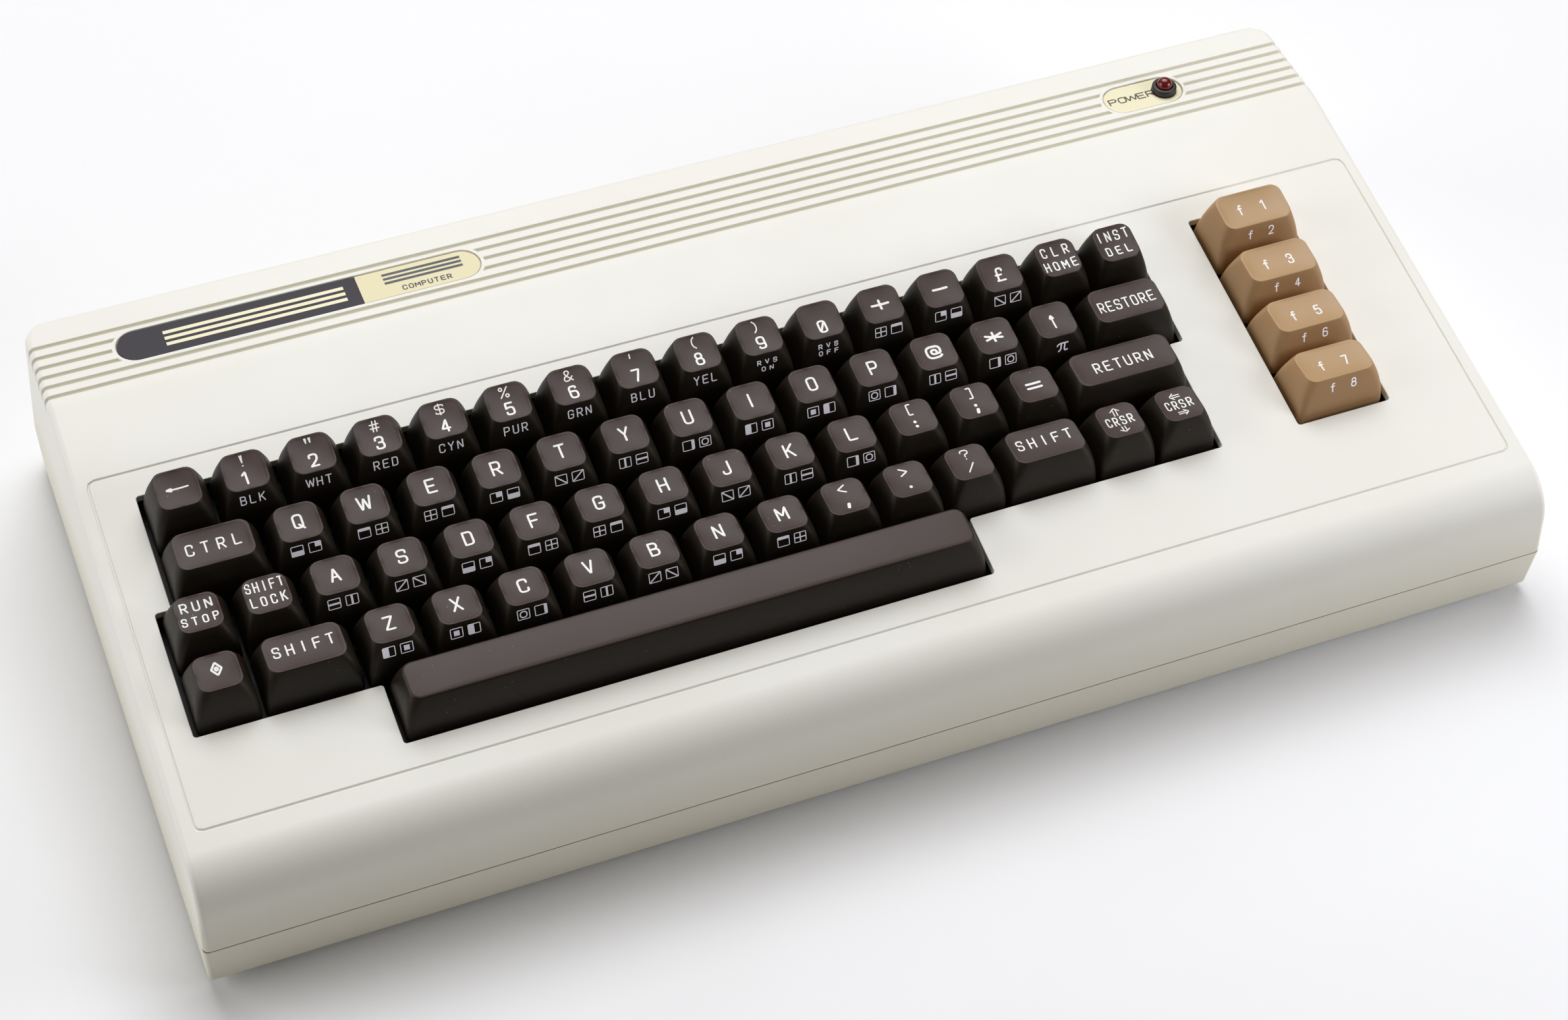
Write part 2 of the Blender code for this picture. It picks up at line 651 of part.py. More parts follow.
def frame_edges():
    """Left, right, front and rear edge of the keyboard frame on the deck."""
    left = key_left(ROW_STEP_SHARES[0]) - APERTURE_GAP - FRAME_FLANGE
    right = FUNCTION_KEYS_LEFT + FUNCTION_WIDTH + APERTURE_GAP + FRAME_FLANGE
    rear = KEY_ROW_COUNT * PITCH + APERTURE_GAP + FRAME_FLANGE
    return left, right, KEYBOARD_FRONT, rear


def frame_boss_places():
    """Where the upper shell's posts meet the keyboard frame."""
    left, right, front, rear = frame_edges()
    rear_row = rear - FRAME_FLANGE / 2
    front_row = -PITCH * FRONT_BOSS_ROW_SHARE
    places = [(left + (right - left) * share, rear_row) for share in REAR_BOSS_SHARES]
    places += [(left + (right - left) * share, front_row) for share in FRONT_BOSS_SHARES]
    return places


def screw_places():
    """The three case screws along the front."""
    row = -CASE_DEPTH / 2 + SCREW_POST_SET_BACK
    return [(side * SCREW_SHARE * CASE_WIDTH, row) for side in (-1, 0, 1)]


def deck_height(y):
    """Height of the deck's face above the table at a depth."""
    return DECK_Z + (y - DECK_Y) * math.tan(DECK_TILT)


def cut_windows(shell, windows):
    """Cut the rear and side windows of the ports through a shell."""
    for window in windows:
        combine(shell, window)


def port_windows():
    """Cutters for the windows that both shells share."""
    outer = CASE_DEPTH / 2 + OVERRUN
    inner = BOARD_REAR
    low = CONNECTOR_MIDDLE - CARTRIDGE_THICKNESS / 2
    reach = CARTRIDGE_WIDTH / 2
    windows = [add_boxes("cartridge_window", [
        ((CARTRIDGE_CENTRE - reach, inner - OVERRUN, low),
         (CARTRIDGE_CENTRE + reach, outer, low + CARTRIDGE_THICKNESS))])]
    for name, centre, width in (("cassette", CASSETTE_CENTRE, CASSETTE_TAB), ("user", USER_CENTRE, USER_TAB)):
        half = width / 2 + TAB_WINDOW_MARGIN
        windows.append(add_boxes(name + "_window", [
            ((centre - half, inner, BOARD_BOTTOM - TAB_WINDOW_BELOW),
             (centre + half, outer, BOARD_TOP + TAB_WINDOW_ABOVE))]))
    rim = SOCKET_SIDE / 2 + 2 * FIT
    for name, centre in (("video", VIDEO_CENTRE), ("serial", SERIAL_CENTRE)):
        windows.append(add_boxes(name + "_window", [
            ((centre - rim, inner - OVERRUN, BOARD_TOP),
             (centre + rim, outer, SEAT_HEIGHT + SOCKET_SIDE + FIT))]))
    side = CASE_WIDTH / 2 + OVERRUN
    inside = BOARD_HALF
    for name, centre, width, height in (
            ("inlet", INLET_CENTRE, SOCKET_SIDE, SOCKET_SIDE + FIT),
            ("switch", SWITCH_CENTRE, SWITCH_LENGTH, SWITCH_HEIGHT + FIT),
            ("control", CONTROL_CENTRE, CONTROL_SHELL_WIDTH, CONTROL_BODY_HEIGHT)):
        rim = width / 2 + 2 * FIT
        windows.append(add_boxes(name + "_window", [
            ((inside, centre - rim, BOARD_TOP), (side, centre + rim, SEAT_HEIGHT + height))]))
    return windows


def make_upper_case(deck, band, windows):
    """The upper shell: deck with its two key openings, ribbed band, lamp hole and port windows."""
    shell = upper_form("upper_case", 0, SEAM_HEIGHT - OVERRUN, IVORY)
    round_edges(shell, EDGE_RADIUS)
    combine(shell, upper_form("upper_cavity", WALL, SEAM_HEIGHT - 2 * OVERRUN))
    combine(shell, wide_block("below_seam", -OVERRUN, SEAM_HEIGHT))
    posts = add_cylinders("keyboard_posts", frame_boss_places(), FRAME_BOSS_RADIUS,
                          FRAME_TOP + FIT, -WALL / 2, steps=TURN_STEPS // 2, parent=deck)
    combine(shell, posts, "UNION")
    row = screw_places()[0][1]
    landing = deck_height(row) - WALL * math.cos(DECK_TILT)
    screw_posts = add_cylinders("upper_screw_posts", screw_places(), SCREW_POST_RADIUS,
                                SEAM_HEIGHT + FIT, landing, steps=TURN_STEPS // 2)
    combine(shell, screw_posts, "UNION")
    cut_apertures(shell, deck)
    cut_panel_line(shell, deck)
    cut_band(shell, band)
    cut_windows(shell, windows)
    return shell


def make_lower_case(windows):
    """The lower shell: tub with its tongue, board posts, screw wells, foot recesses and vents."""
    shell = lower_form("lower_case", 0, BASE_HEIGHT, SEAM_HEIGHT + OVERRUN, IVORY)
    round_edges(shell, BASE_EDGE_RADIUS)
    combine(shell, lower_form("lower_cavity", WALL, FLOOR_HEIGHT, SEAM_HEIGHT + 2 * OVERRUN))
    combine(shell, wide_block("above_seam", SEAM_HEIGHT - SEAM_GAP, SEAM_HEIGHT + 3 * OVERRUN))
    combine(shell, add_tongue(), "UNION")
    reach = BOARD_HALF - STANDOFF_SIDE_MARGIN
    rows = (BOARD_FRONT + STANDOFF_FRONT_MARGIN, BOARD_REAR - STANDOFF_REAR_MARGIN)
    places = [(x, y) for x in (-reach, 0, reach) for y in rows]
    posts = add_cylinders("board_posts", places, STANDOFF_RADIUS, FLOOR_HEIGHT - WALL / 2, BOARD_BOTTOM - FIT,
                          steps=TURN_STEPS // 2)
    combine(shell, posts, "UNION")
    screw_posts = add_cylinders("lower_screw_posts", screw_places(), SCREW_POST_RADIUS,
                                FLOOR_HEIGHT - WALL / 2, SEAM_HEIGHT, steps=TURN_STEPS // 2)
    combine(shell, screw_posts, "UNION")
    wells = add_cylinders("screw_wells", screw_places(), SCREW_WELL_RADIUS, 0, BASE_HEIGHT + SCREW_WELL_DEPTH,
                          steps=TURN_STEPS // 2)
    combine(shell, wells)
    recesses = add_cylinders("foot_recesses", foot_places(), FOOT_RADIUS + FIT, 0, BASE_HEIGHT + FOOT_RECESS)
    combine(shell, recesses)
    combine(shell, add_vents())
    cut_windows(shell, windows)
    return shell


def inset_block(name, inset, low, high, lean=0.0):
    """A block set in from the housing's outside, and further in at front and rear by the lean."""
    reach = CASE_WIDTH / 2 - inset
    depth = CASE_DEPTH / 2 - inset - lean
    bm = bmesh.new()
    bmesh.ops.create_cube(bm, size=2)
    for vert in bm.verts:
        vert.co = (vert.co.x * reach, vert.co.y * depth, high if vert.co.z > 0 else low)
    round_rear_corners(bm, REAR_CORNER_RADIUS - inset)
    return add_object(name, finish_mesh(name, bm))


def add_tongue():
    """Locating rib that stands on the lower shell's wall and rises inside the upper one."""
    outside = WALL + FIT
    low = SEAM_HEIGHT - TONGUE_DROP
    high = SEAM_HEIGHT + TONGUE_RISE
    lean = TONGUE_RISE * math.tan(REAR_LEAN)
    root = inset_block("tongue_root", WALL / 2, low, SEAM_HEIGHT - SEAM_GAP)
    combine(root, inset_block("tongue", outside, low + FIT, high, lean), "UNION")
    combine(root, inset_block("tongue_core", outside + TONGUE_THICKNESS, low - OVERRUN, high + OVERRUN, lean))
    return root


def add_vents():
    """Two banks of slots through the floor."""
    spans = []
    for side in (-1, 1):
        for index in range(VENT_COUNT):
            x = side * VENT_BANK_REACH + (index - (VENT_COUNT - 1) / 2) * VENT_PITCH
            spans.append(((x - VENT_WIDTH / 2, -VENT_LENGTH / 2, 0),
                          (x + VENT_WIDTH / 2, VENT_LENGTH / 2, FLOOR_HEIGHT + OVERRUN)))
    return add_boxes("vents", spans)


def foot_places():
    """The four corners where a foot sits."""
    reach = CASE_WIDTH / 2 - FOOT_INSET_SIDE
    depth = CASE_DEPTH / 2 - FOOT_INSET_DEPTH
    return [(x, y) for y in (-depth, depth) for x in (-reach, reach)]


def make_feet():
    """Four round rubber feet, each in its recess."""
    names = ("foot_front_left", "foot_front_right", "foot_rear_left", "foot_rear_right")
    for name, (x, y) in zip(names, foot_places()):
        add_cylinders(name, [(0, 0)], FOOT_RADIUS - FOOT_TAPER, 0, BASE_HEIGHT + FOOT_RECESS - FIT,
                      top_radius=FOOT_RADIUS, finish=RUBBER, location=(x, y, 0))


def loft(bm, rings):
    """Skin rings of equal point counts and close both ends."""
    loops = [[bm.verts.new(point) for point in ring] for ring in rings]
    for lower, upper in zip(loops, loops[1:]):
        for index in range(len(lower)):
            after = (index + 1) % len(lower)
            bm.faces.new((lower[index], lower[after], upper[after], upper[index]))
    bm.faces.new(loops[0])
    bm.faces.new(loops[-1])


def cap_rings(width, row, dished):
    """Sections of a key cap about the middle of its cell, from its skirt to its row's own top."""
    depth = PITCH - KEY_GAP
    side, front, rear = CAP_SIDE_INSET, CAP_FRONT_INSET, CAP_REAR_INSET
    shift = (front - rear) / 2
    top_width = width - 2 * side
    top_depth = depth - front - rear
    top = CAP_TOP * CAP_TOP_SHARES[row]
    waist = CAP_BOTTOM + (top - CAP_BOTTOM) * WAIST_HEIGHT_SHARE
    drawn = WAIST_INSET_SHARE
    lean = math.tan(CAP_TILT * CAP_TILT_SHARES[row])
    rings = [[(x, y, CAP_BOTTOM) for x, y in rectangle(width, depth, CAP_BASE_RADIUS)]]
    middle = rectangle(width - 2 * side * drawn, depth - (front + rear) * drawn, CAP_BASE_RADIUS)
    rings.append([(x, y + shift * drawn, waist) for x, y in middle])
    crown = rectangle(top_width, top_depth, CAP_TOP_RADIUS)
    rings.append([(x, y + shift, top + y * lean) for x, y in crown])
    sunk = CAP_DISH if dished else CAP_EDGE / 2
    spread = DISH_SHARE if dished else 1 - CAP_EDGE / top_depth
    narrowed = 1 - (1 - spread) * top_depth / top_width
    rings.append([(x * narrowed, y * spread + shift, top + y * lean - sunk) for x, y in crown])
    return rings


def add_cap(name, width_share, row, finish=None, **placing):
    """One key cap."""
    bm = bmesh.new()
    loft(bm, cap_rings(width_share * PITCH - KEY_GAP, row, name != "key_space"))
    return add_object(name, finish_mesh(name, bm), finish, **placing)


def key_places():
    """Name, width share, row and cell middle on the deck of every main key and function key."""
    places = []
    for row, (row_share, left_share, keys) in enumerate(KEY_ROW_SHARES):
        y = (row_share + 0.5) * PITCH
        for name, width_share in keys:
            places.append((name, width_share, row, key_left(left_share + width_share / 2), y))
            left_share += width_share
    middle = FUNCTION_KEYS_LEFT + FUNCTION_WIDTH / 2
    for row, name in enumerate(FUNCTION_KEY_NAMES):
        places.append((name, FUNCTION_KEY_SHARE, row + 1, middle, (row + 0.5) * PITCH))
    return places


def stem_shifts(name):
    """Sideways places of a key's stems."""
    if name != "space":
        return (0.0,)
    return tuple(share * PITCH for share in SPACE_STEM_SHARES)


def stem_spans(shifts, side, low, high):
    """Square posts below a key, as boxes."""
    half = side / 2
    return [((shift - half, -half, low), (shift + half, half, high)) for shift in shifts]


def make_moving_keys(deck):
    """Every key with a node of its own: cap and stem, its origin on the line that it slides along."""
    for name, width_share, row, x, y in key_places():
        if name in KEYS_ON_FRAME:
            continue
        finish = TAN if name in FUNCTION_KEY_NAMES else DARK_BROWN
        cap = add_cap("key_" + name, width_share, row, finish, parent=deck, location=(x, y, 0))
        stem = add_boxes("stem_" + name, stem_spans(stem_shifts(name), STEM_SIDE, STEM_BOTTOM, 0),
                         parent=deck, location=(x, y, 0))
        combine(cap, stem, "UNION")


def make_keyboard_frame(deck):
    """Tray that guides the stems; it also carries the caps that have no node of their own."""
    left, right, front, rear = frame_edges()
    span = ((left, front, FRAME_BASE), (right, rear, FRAME_TOP))
    frame = add_boxes("keyboard_frame", [span], DARK_BROWN, parent=deck)
    rim = FRAME_RIM
    low = FRAME_BASE - OVERRUN
    hollow = ((left + rim, front + rim, low), (right - rim, rear - rim, FRAME_TOP - FRAME_PLATE))
    combine(frame, add_boxes("frame_pocket", [hollow], parent=deck))
    bores = []
    bore_side = STEM_SIDE + 2 * FIT
    for name, _, _, x, y in key_places():
        if name in KEYS_ON_FRAME:
            continue
        place = Vector((x, y, 0))
        for start, end in stem_spans(stem_shifts(name), bore_side, low, FRAME_TOP + OVERRUN):
            bores.append((Vector(start) + place, Vector(end) + place))
    combine(frame, add_boxes("stem_bores", bores, parent=deck))
    for name, width_share, row, x, y in key_places():
        if name not in KEYS_ON_FRAME:
            continue
        cap = add_cap("cap_" + name, width_share, row, parent=deck, location=(x, y, 0))
        stem = add_boxes("fixed_stem_" + name, stem_spans((0.0,), STEM_SIDE, FRAME_TOP - FRAME_PLATE / 2, 0),
                         parent=deck, location=(x, y, 0))
        combine(cap, stem, "UNION")
        combine(frame, cap, "UNION")
    return frame


def make_keyboard_board(deck):
    """Contact board screwed under the frame."""
    left, right, front, rear = frame_edges()
    span = ((left, front, KEYBOARD_BASE), (right, rear, KEYBOARD_BASE + BOARD_THICKNESS))
    add_boxes("keyboard_board", [span], BOARD_GREEN, parent=deck)


def board_outline():
    """Outline of the main board: notch behind the cartridge connector, and two edge tabs."""
    cut_left = CARTRIDGE_CENTRE - CARTRIDGE_WIDTH / 2 - FIT
    cut_right = CARTRIDGE_CENTRE + CARTRIDGE_WIDTH / 2 + FIT
    notch = BOARD_REAR - CARTRIDGE_DEPTH
    tab = BOARD_REAR + EDGE_TAB_REACH
    points = [(-BOARD_HALF, BOARD_FRONT), (BOARD_HALF, BOARD_FRONT), (BOARD_HALF, BOARD_REAR),
              (cut_right, BOARD_REAR), (cut_right, notch), (cut_left, notch), (cut_left, BOARD_REAR)]
    for centre, width in ((CASSETTE_CENTRE, CASSETTE_TAB), (USER_CENTRE, USER_TAB)):
        points += [(centre + width / 2, BOARD_REAR), (centre + width / 2, tab),
                   (centre - width / 2, tab), (centre - width / 2, BOARD_REAR)]
    points.append((-BOARD_HALF, BOARD_REAR))
    return points


def make_main_board():
    """Main board with its edge tabs and its rows of chips."""
    board = add_prism("main_board", board_outline(), BOARD_BOTTOM, BOARD_TOP, BOARD_GREEN)
    spans = []
    for row in range(CHIP_ROWS):
        for column in range(CHIP_COLUMNS):
            x = (column - (CHIP_COLUMNS - 1) / 2) * CHIP_ROW_STEP
            y = BOARD_FRONT + CHIP_STEP * (row + 1)
            spans.append(((x - CHIP_WIDTH / 2, y - CHIP_DEPTH / 2, BOARD_TOP - BOARD_THICKNESS / 2),
                          (x + CHIP_WIDTH / 2, y + CHIP_DEPTH / 2, BOARD_TOP + CHIP_HEIGHT)))
    combine(board, add_boxes("chips", spans), "UNION")
    return board


def make_expansion_connector():
    """Edge connector that takes a cartridge's board."""
    half = CONNECTOR_WIDTH / 2
    body = add_boxes("expansion_connector", [
        ((CARTRIDGE_CENTRE - half, CONNECTOR_FACE - CONNECTOR_DEPTH, SEAT_HEIGHT),
         (CARTRIDGE_CENTRE + half, CONNECTOR_FACE, SEAT_HEIGHT + CONNECTOR_HEIGHT))], BLACK)
    half = CONNECTOR_SLOT_WIDTH / 2
    rise = CONNECTOR_SLOT_HEIGHT / 2
    slot = add_boxes("connector_slot", [
        ((CARTRIDGE_CENTRE - half, CONNECTOR_FACE - CONNECTOR_SLOT_DEPTH, CONNECTOR_MIDDLE - rise),
         (CARTRIDGE_CENTRE + half, CONNECTOR_FACE + OVERRUN, CONNECTOR_MIDDLE + rise))])
    combine(body, slot)


def make_round_socket(name, x, y, turn):
    """Round multi pin socket, its face at the origin and looking along local +Y."""
    half = SOCKET_SIDE / 2
    place = (x, y, SEAT_HEIGHT + half)
    span = ((-half, -SOCKET_DEPTH, -half), (half, 0, half))
    body = add_boxes(name, [span], BLACK, location=place, turn=turn)
    middle = [(0, 0)]
    groove = add_cylinders(name + "_groove", middle, SOCKET_OUTER_RADIUS,
                           -SOCKET_RECESS, OVERRUN, location=place)
    core = add_cylinders(name + "_core", middle, SOCKET_CORE_RADIUS,
                         -2 * SOCKET_RECESS, 2 * OVERRUN, location=place)
    for tool in (groove, core):
        tool.rotation_euler = (-math.pi / 2, 0, turn)
    combine(groove, core)
    combine(body, groove)


def shell_outline(width, height):
    """The D shape of the control port, wide side up."""
    slant = CONTROL_SHELL_SLANT
    corners = ((-width / 2 + slant, -height / 2), (width / 2 - slant, -height / 2),
               (width / 2, height / 2), (-width / 2, height / 2))
    return rounded_outline(corners, (2 * slant,) * 4, CORNER_STEPS)


def make_control_port():
    """Nine way control port: a body on the board and a hollow shell through the side wall."""
    half = CONTROL_BODY_WIDTH / 2
    face = SIDE_FACE - CONTROL_SHELL_REACH
    middle = SEAT_HEIGHT + CONTROL_BODY_HEIGHT / 2
    body = add_boxes("control_port", [
        ((face - CONTROL_BODY_DEPTH, CONTROL_CENTRE - half, SEAT_HEIGHT),
         (face, CONTROL_CENTRE + half, SEAT_HEIGHT + CONTROL_BODY_HEIGHT))], STEEL)
    wall = CONTROL_SHELL_WALL
    place = (face, CONTROL_CENTRE, middle)
    outside = shell_outline(CONTROL_SHELL_WIDTH, CONTROL_SHELL_HEIGHT)
    outer = add_prism("control_shell", outside, -CONTROL_SHELL_REACH / 2, CONTROL_SHELL_REACH, location=place)
    inside = shell_outline(CONTROL_SHELL_WIDTH - 2 * wall, CONTROL_SHELL_HEIGHT - 2 * wall)
    inner = add_prism("control_hollow", inside, wall, CONTROL_SHELL_REACH + OVERRUN, location=place)
    for tool in (outer, inner):
        tool.rotation_euler = (math.pi / 2, 0, math.pi / 2)
    combine(body, outer, "UNION")
    combine(body, inner)


def make_power_switch():
    """Switch body in the side wall and the rocker that tips in it."""
    half = SWITCH_LENGTH / 2
    body = add_boxes("power_switch_body", [
        ((SIDE_FACE - SWITCH_DEPTH, SWITCH_CENTRE - half, SEAT_HEIGHT),
         (SIDE_FACE, SWITCH_CENTRE + half, SEAT_HEIGHT + SWITCH_HEIGHT))], BLACK)
    reach = ROCKER_HALF_LENGTH + 2 * FIT
    rise = ROCKER_HEIGHT / 2 + FIT
    pocket = add_boxes("rocker_pocket", [
        ((SIDE_FACE - SWITCH_POCKET_DEPTH, SWITCH_CENTRE - reach, GRIP_HEIGHT - rise),
         (SIDE_FACE + OVERRUN, SWITCH_CENTRE + reach, GRIP_HEIGHT + rise))])
    combine(body, pocket)
    outline = ((ROCKER_END, -ROCKER_HALF_LENGTH), (ROCKER_MIDDLE, 0), (ROCKER_END, ROCKER_HALF_LENGTH),
               (ROCKER_SHOULDER, ROCKER_HALF_LENGTH), (-ROCKER_FOOT, ROCKER_FOOT_HALF),
               (-ROCKER_FOOT, -ROCKER_FOOT_HALF), (ROCKER_SHOULDER, -ROCKER_HALF_LENGTH))
    add_prism("power_rocker", outline, -ROCKER_HEIGHT / 2, ROCKER_HEIGHT / 2, BLACK,
              location=(SIDE_FACE - ROCKER_AXIS_DEPTH, SWITCH_CENTRE, GRIP_HEIGHT), turn=-ROCKER_SWING / 2)


def make_plates(band):
    """Badge plate and lamp label in their recesses on the ribbed band."""
    low = -PLATE_RECESS + FIT
    high = low + PLATE_THICKNESS
    add_prism("badge_plate", pill(BADGE_LENGTH, BADGE_HEIGHT), low, high, CHARCOAL,
              parent=band, location=(BADGE_CENTRE, PLATE_ROW, 0))
    label = add_prism("power_label_plate", pill(LABEL_LENGTH, BADGE_HEIGHT), low, high, CREAM,
                      parent=band, location=(LABEL_CENTRE, PLATE_ROW, 0))
    place = [(LAMP_CENTRE, PLATE_ROW)]
    hole = add_cylinders("label_hole", place, LAMP_HOLE_RADIUS, -OVERRUN, OVERRUN, parent=band)
    combine(label, hole)


def make_lamp(band):
    """Lamp holder clipped through the label, with the lamp pushed in from below."""
    seat = -PLATE_RECESS + PLATE_THICKNESS + 2 * FIT
    bore = LAMP_RADIUS + FIT
    neck = bore + HOLDER_WALL
    place = (LAMP_CENTRE, PLATE_ROW, 0)
    holder = ((bore, HOLDER_HEIGHT), (HOLDER_RADIUS - HOLDER_CHAMFER, HOLDER_HEIGHT),
              (HOLDER_RADIUS, HOLDER_HEIGHT - HOLDER_CHAMFER), (HOLDER_RADIUS, seat), (neck, seat),
              (neck, -HOLDER_NECK), (bore, -HOLDER_NECK))
    add_turned("lamp_holder", holder, True, BLACK, parent=band, location=place)
    flange = -HOLDER_NECK - FIT
    dome = [(LAMP_RADIUS * math.sin(angle), LAMP_TOP - LAMP_RADIUS * (1 - math.cos(angle)))
            for angle in (math.pi / 2 * step / CORNER_STEPS / 2 for step in range(2 * CORNER_STEPS + 1))]
    lamp = dome + [(LAMP_RADIUS, flange), (LAMP_RADIUS + LAMP_FLANGE, flange),
                   (LAMP_RADIUS + LAMP_FLANGE, flange - LAMP_FLANGE_HEIGHT), (0, flange - LAMP_FLANGE_HEIGHT)]
    add_turned("power_lamp", lamp, False, LAMP_RED, parent=band, location=place)


clear_scene()
PARTS = make_collection("vintage_home_computer")
CUTTERS = make_collection("cutters")
DECK_FRAME = add_empty("deck_frame", (0, DECK_Y, DECK_Z), DECK_TILT)
BAND_FRAME = add_empty("band_frame", (0, RIDGE_Y, RIDGE_HEIGHT), -BAND_FALL)
WINDOWS = port_windows()
make_upper_case(DECK_FRAME, BAND_FRAME, WINDOWS)
make_lower_case(WINDOWS)
make_feet()
make_keyboard_frame(DECK_FRAME)
make_keyboard_board(DECK_FRAME)
make_moving_keys(DECK_FRAME)
make_main_board()
make_expansion_connector()
make_round_socket("video_socket", VIDEO_CENTRE, SOCKET_FACE, 0)
make_round_socket("serial_socket", SERIAL_CENTRE, SOCKET_FACE, 0)
make_round_socket("power_inlet", SIDE_FACE, INLET_CENTRE, -math.pi / 2)
make_control_port()
make_power_switch()
make_plates(BAND_FRAME)
make_lamp(BAND_FRAME)
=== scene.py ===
"""Looks of the vintage home computer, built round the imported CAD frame."""
from math import atan2, cos, pi, radians, sin, tan

import bmesh
import bpy
import numpy as np
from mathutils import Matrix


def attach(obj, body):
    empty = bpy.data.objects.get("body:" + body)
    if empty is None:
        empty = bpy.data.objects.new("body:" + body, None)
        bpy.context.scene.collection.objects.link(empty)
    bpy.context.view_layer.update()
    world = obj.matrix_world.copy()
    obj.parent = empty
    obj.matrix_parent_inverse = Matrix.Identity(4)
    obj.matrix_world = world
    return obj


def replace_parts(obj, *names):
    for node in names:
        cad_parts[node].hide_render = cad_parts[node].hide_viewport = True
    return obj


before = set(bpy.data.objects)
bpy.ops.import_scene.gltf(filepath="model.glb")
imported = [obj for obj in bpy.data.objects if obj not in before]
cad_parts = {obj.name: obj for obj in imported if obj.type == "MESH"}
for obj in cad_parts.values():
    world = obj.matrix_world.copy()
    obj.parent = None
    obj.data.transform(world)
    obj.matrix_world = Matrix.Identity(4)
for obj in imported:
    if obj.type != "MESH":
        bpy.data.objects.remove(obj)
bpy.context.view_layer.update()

MM = 0.001

# Housing sizes, as the part source makes them, in metres and radians
DECK_Y = -0.055613
DECK_Z = 0.05067
DECK_TILT = radians(8.8)
RIDGE_Y = 0.055069
RIDGE_Z = 0.067804
BAND_FALL = radians(1.3)
SEAM_HEIGHT = 0.0191
SEAM_GAP = 0.0007
GROOVE_COUNT = 6
GROOVE_START = 0.0052
GROOVE_PITCH = 0.0041
GROOVE_WIDTH = 0.0014
GROOVE_DEPTH = 0.0020
KEYBOARD_LEFT = -0.185088
FUNCTION_LEFT = 0.141813

# What is shown otherwise than in the CAD, and where the notches at the grooves' ends start, in metres
SEAM_SHOWN = 0.0003
GROOVE_SHOWN = 0.0009
NOTCH_X = 0.2004

# Edge softening and tolerances, in metres
SHELL_EDGE = 0.00025
TRAY_EDGE = 0.0002
PLATE_EDGE = 0.00015
CUT_MERGE = 1e-7
MERGE = 1e-6
SLIVER = 4e-5
CLOSE = 1e-5
RIM_CLOSE = 2e-5
# Reach of the painted seam shade from the seam, on level faces and on the lower shell's upright faces
SEAM_NEAR = 0.0006
SEAM_REACH = 0.0019

# Angles up to which faces join or shade smoothly, and the least upright share of a level face's normal
FLAT_ANGLE = radians(0.4)
CAP_ANGLE = radians(30)
EDGE_ANGLE = radians(32)
ROUND_ANGLE = radians(40)
LEVEL = 0.9
BEVEL_SEGMENTS = 2
NORMAL_WEIGHT = 100

# Ports, as the part source makes them, in metres
VIDEO_X = 0.003992
SERIAL_X = -0.023994
CASSETTE_X = -0.060006
USER_X = -0.124005
CARTRIDGE_X = 0.100011
SOCKET_Y = 0.097213
SOCKET_Z = 0.0262
SIDE_X = 0.202488
INLET_Y = 0.068013
PORT_X = 0.197288
PORT_Y = 0.006013
PORT_Z = 0.02345
BOARD_TOP = 0.0169
TAB_Y = 0.099413
CONNECTOR_Y = 0.064913
CONNECTOR_Z = 0.0234

# Place, quarter turn and number of holes of each round socket, and place and number of the edge contacts
SOCKETS = ((VIDEO_X, SOCKET_Y, 0, 8), (SERIAL_X, SOCKET_Y, 0, 6), (SIDE_X, INLET_Y, 1, 7))
FINGERS = ((USER_X, 12), (CASSETTE_X, 6))
SPRINGS = ((CARTRIDGE_X, 22),)

# Round parts in the ports, in millimetres and degrees: radii, start and end, or radius and reach
SHIELD = (6.65, 7.15, -5.8, -0.3)
EYELET = (0.62, 0.80, -0.5, 0.12)
HOLE = (0.64, 0.03)
PIN = (0.5, 4.4)
PIN_SIDES = 12

# Width of a pin's end and distance back from its tip as shares of the radius, and the tip's radius
PIN_END = ((1.0, 0.5), (0.7, 0.15))
PIN_TIP = 0.02

# Sides of a tube, and places of the sockets' holes and of the control port's pins and block
TUBE_SIDES = 36
FAN_RADIUS = 3.6
FAN_SPREAD = 110
PIN_PITCH = 2.77
PIN_ROW = 1.42
PORT_BLOCK = ((-8.1, -0.02, -3.9), (8.1, 0.9, 3.9))

# Gilt contacts, in millimetres: half widths, start and end along the board, thickness, gap from the middle
CONTACT_PITCH = 3.96
FINGER_HALF = 1.2
FINGER_SPAN = (-8.0, -0.3)
GILT = 0.04
BOARD_THICKNESS = 1.6
SPRING_HALF = 0.45
SPRING_SPAN = (-6.5, -0.4)
SPRING_GAPS = (0.62, 0.98)

# Plates, their printing and the lamp, in millimetres on the band; profiles give radius and height
PLATE_ROW = 17.5
PLATE_TOP = -0.3
PRINT_LIFT = 0.015
LIGHT_END_X = -86.0
DARK_END_X = -137.0
WORD_DROP = 3.4
BAR = ((-12.0, -0.5), (12.0, 0.5))
BAR_RISES = (3.5, 1.75, 0.0)
STRIPE = ((-27.0, -0.65), (27.0, 0.65))
STRIPE_STEP = 2.4
POWER_X = 146.0
LAMP_X = 157.288
TURN_STEPS = 40
COLLAR = ((2.8, 1.8), (3.35, 1.8), (3.6, 1.72), (3.82, 1.5), (3.9, 1.25), (3.9, 0.0), (3.7, 0.0), (3.7, -6.0),
          (2.8, -6.0), (2.8, 1.8))
LAMP_FOOT = ((3.0, -7.5), (3.0, -6.3), (2.5, -6.3))
DOME_RADIUS = 2.5
DOME_FOOT = 1.9
DOME_RISE = 2.4
DOME_STEPS = 12
DOME_TIP = (0.02, 4.3)

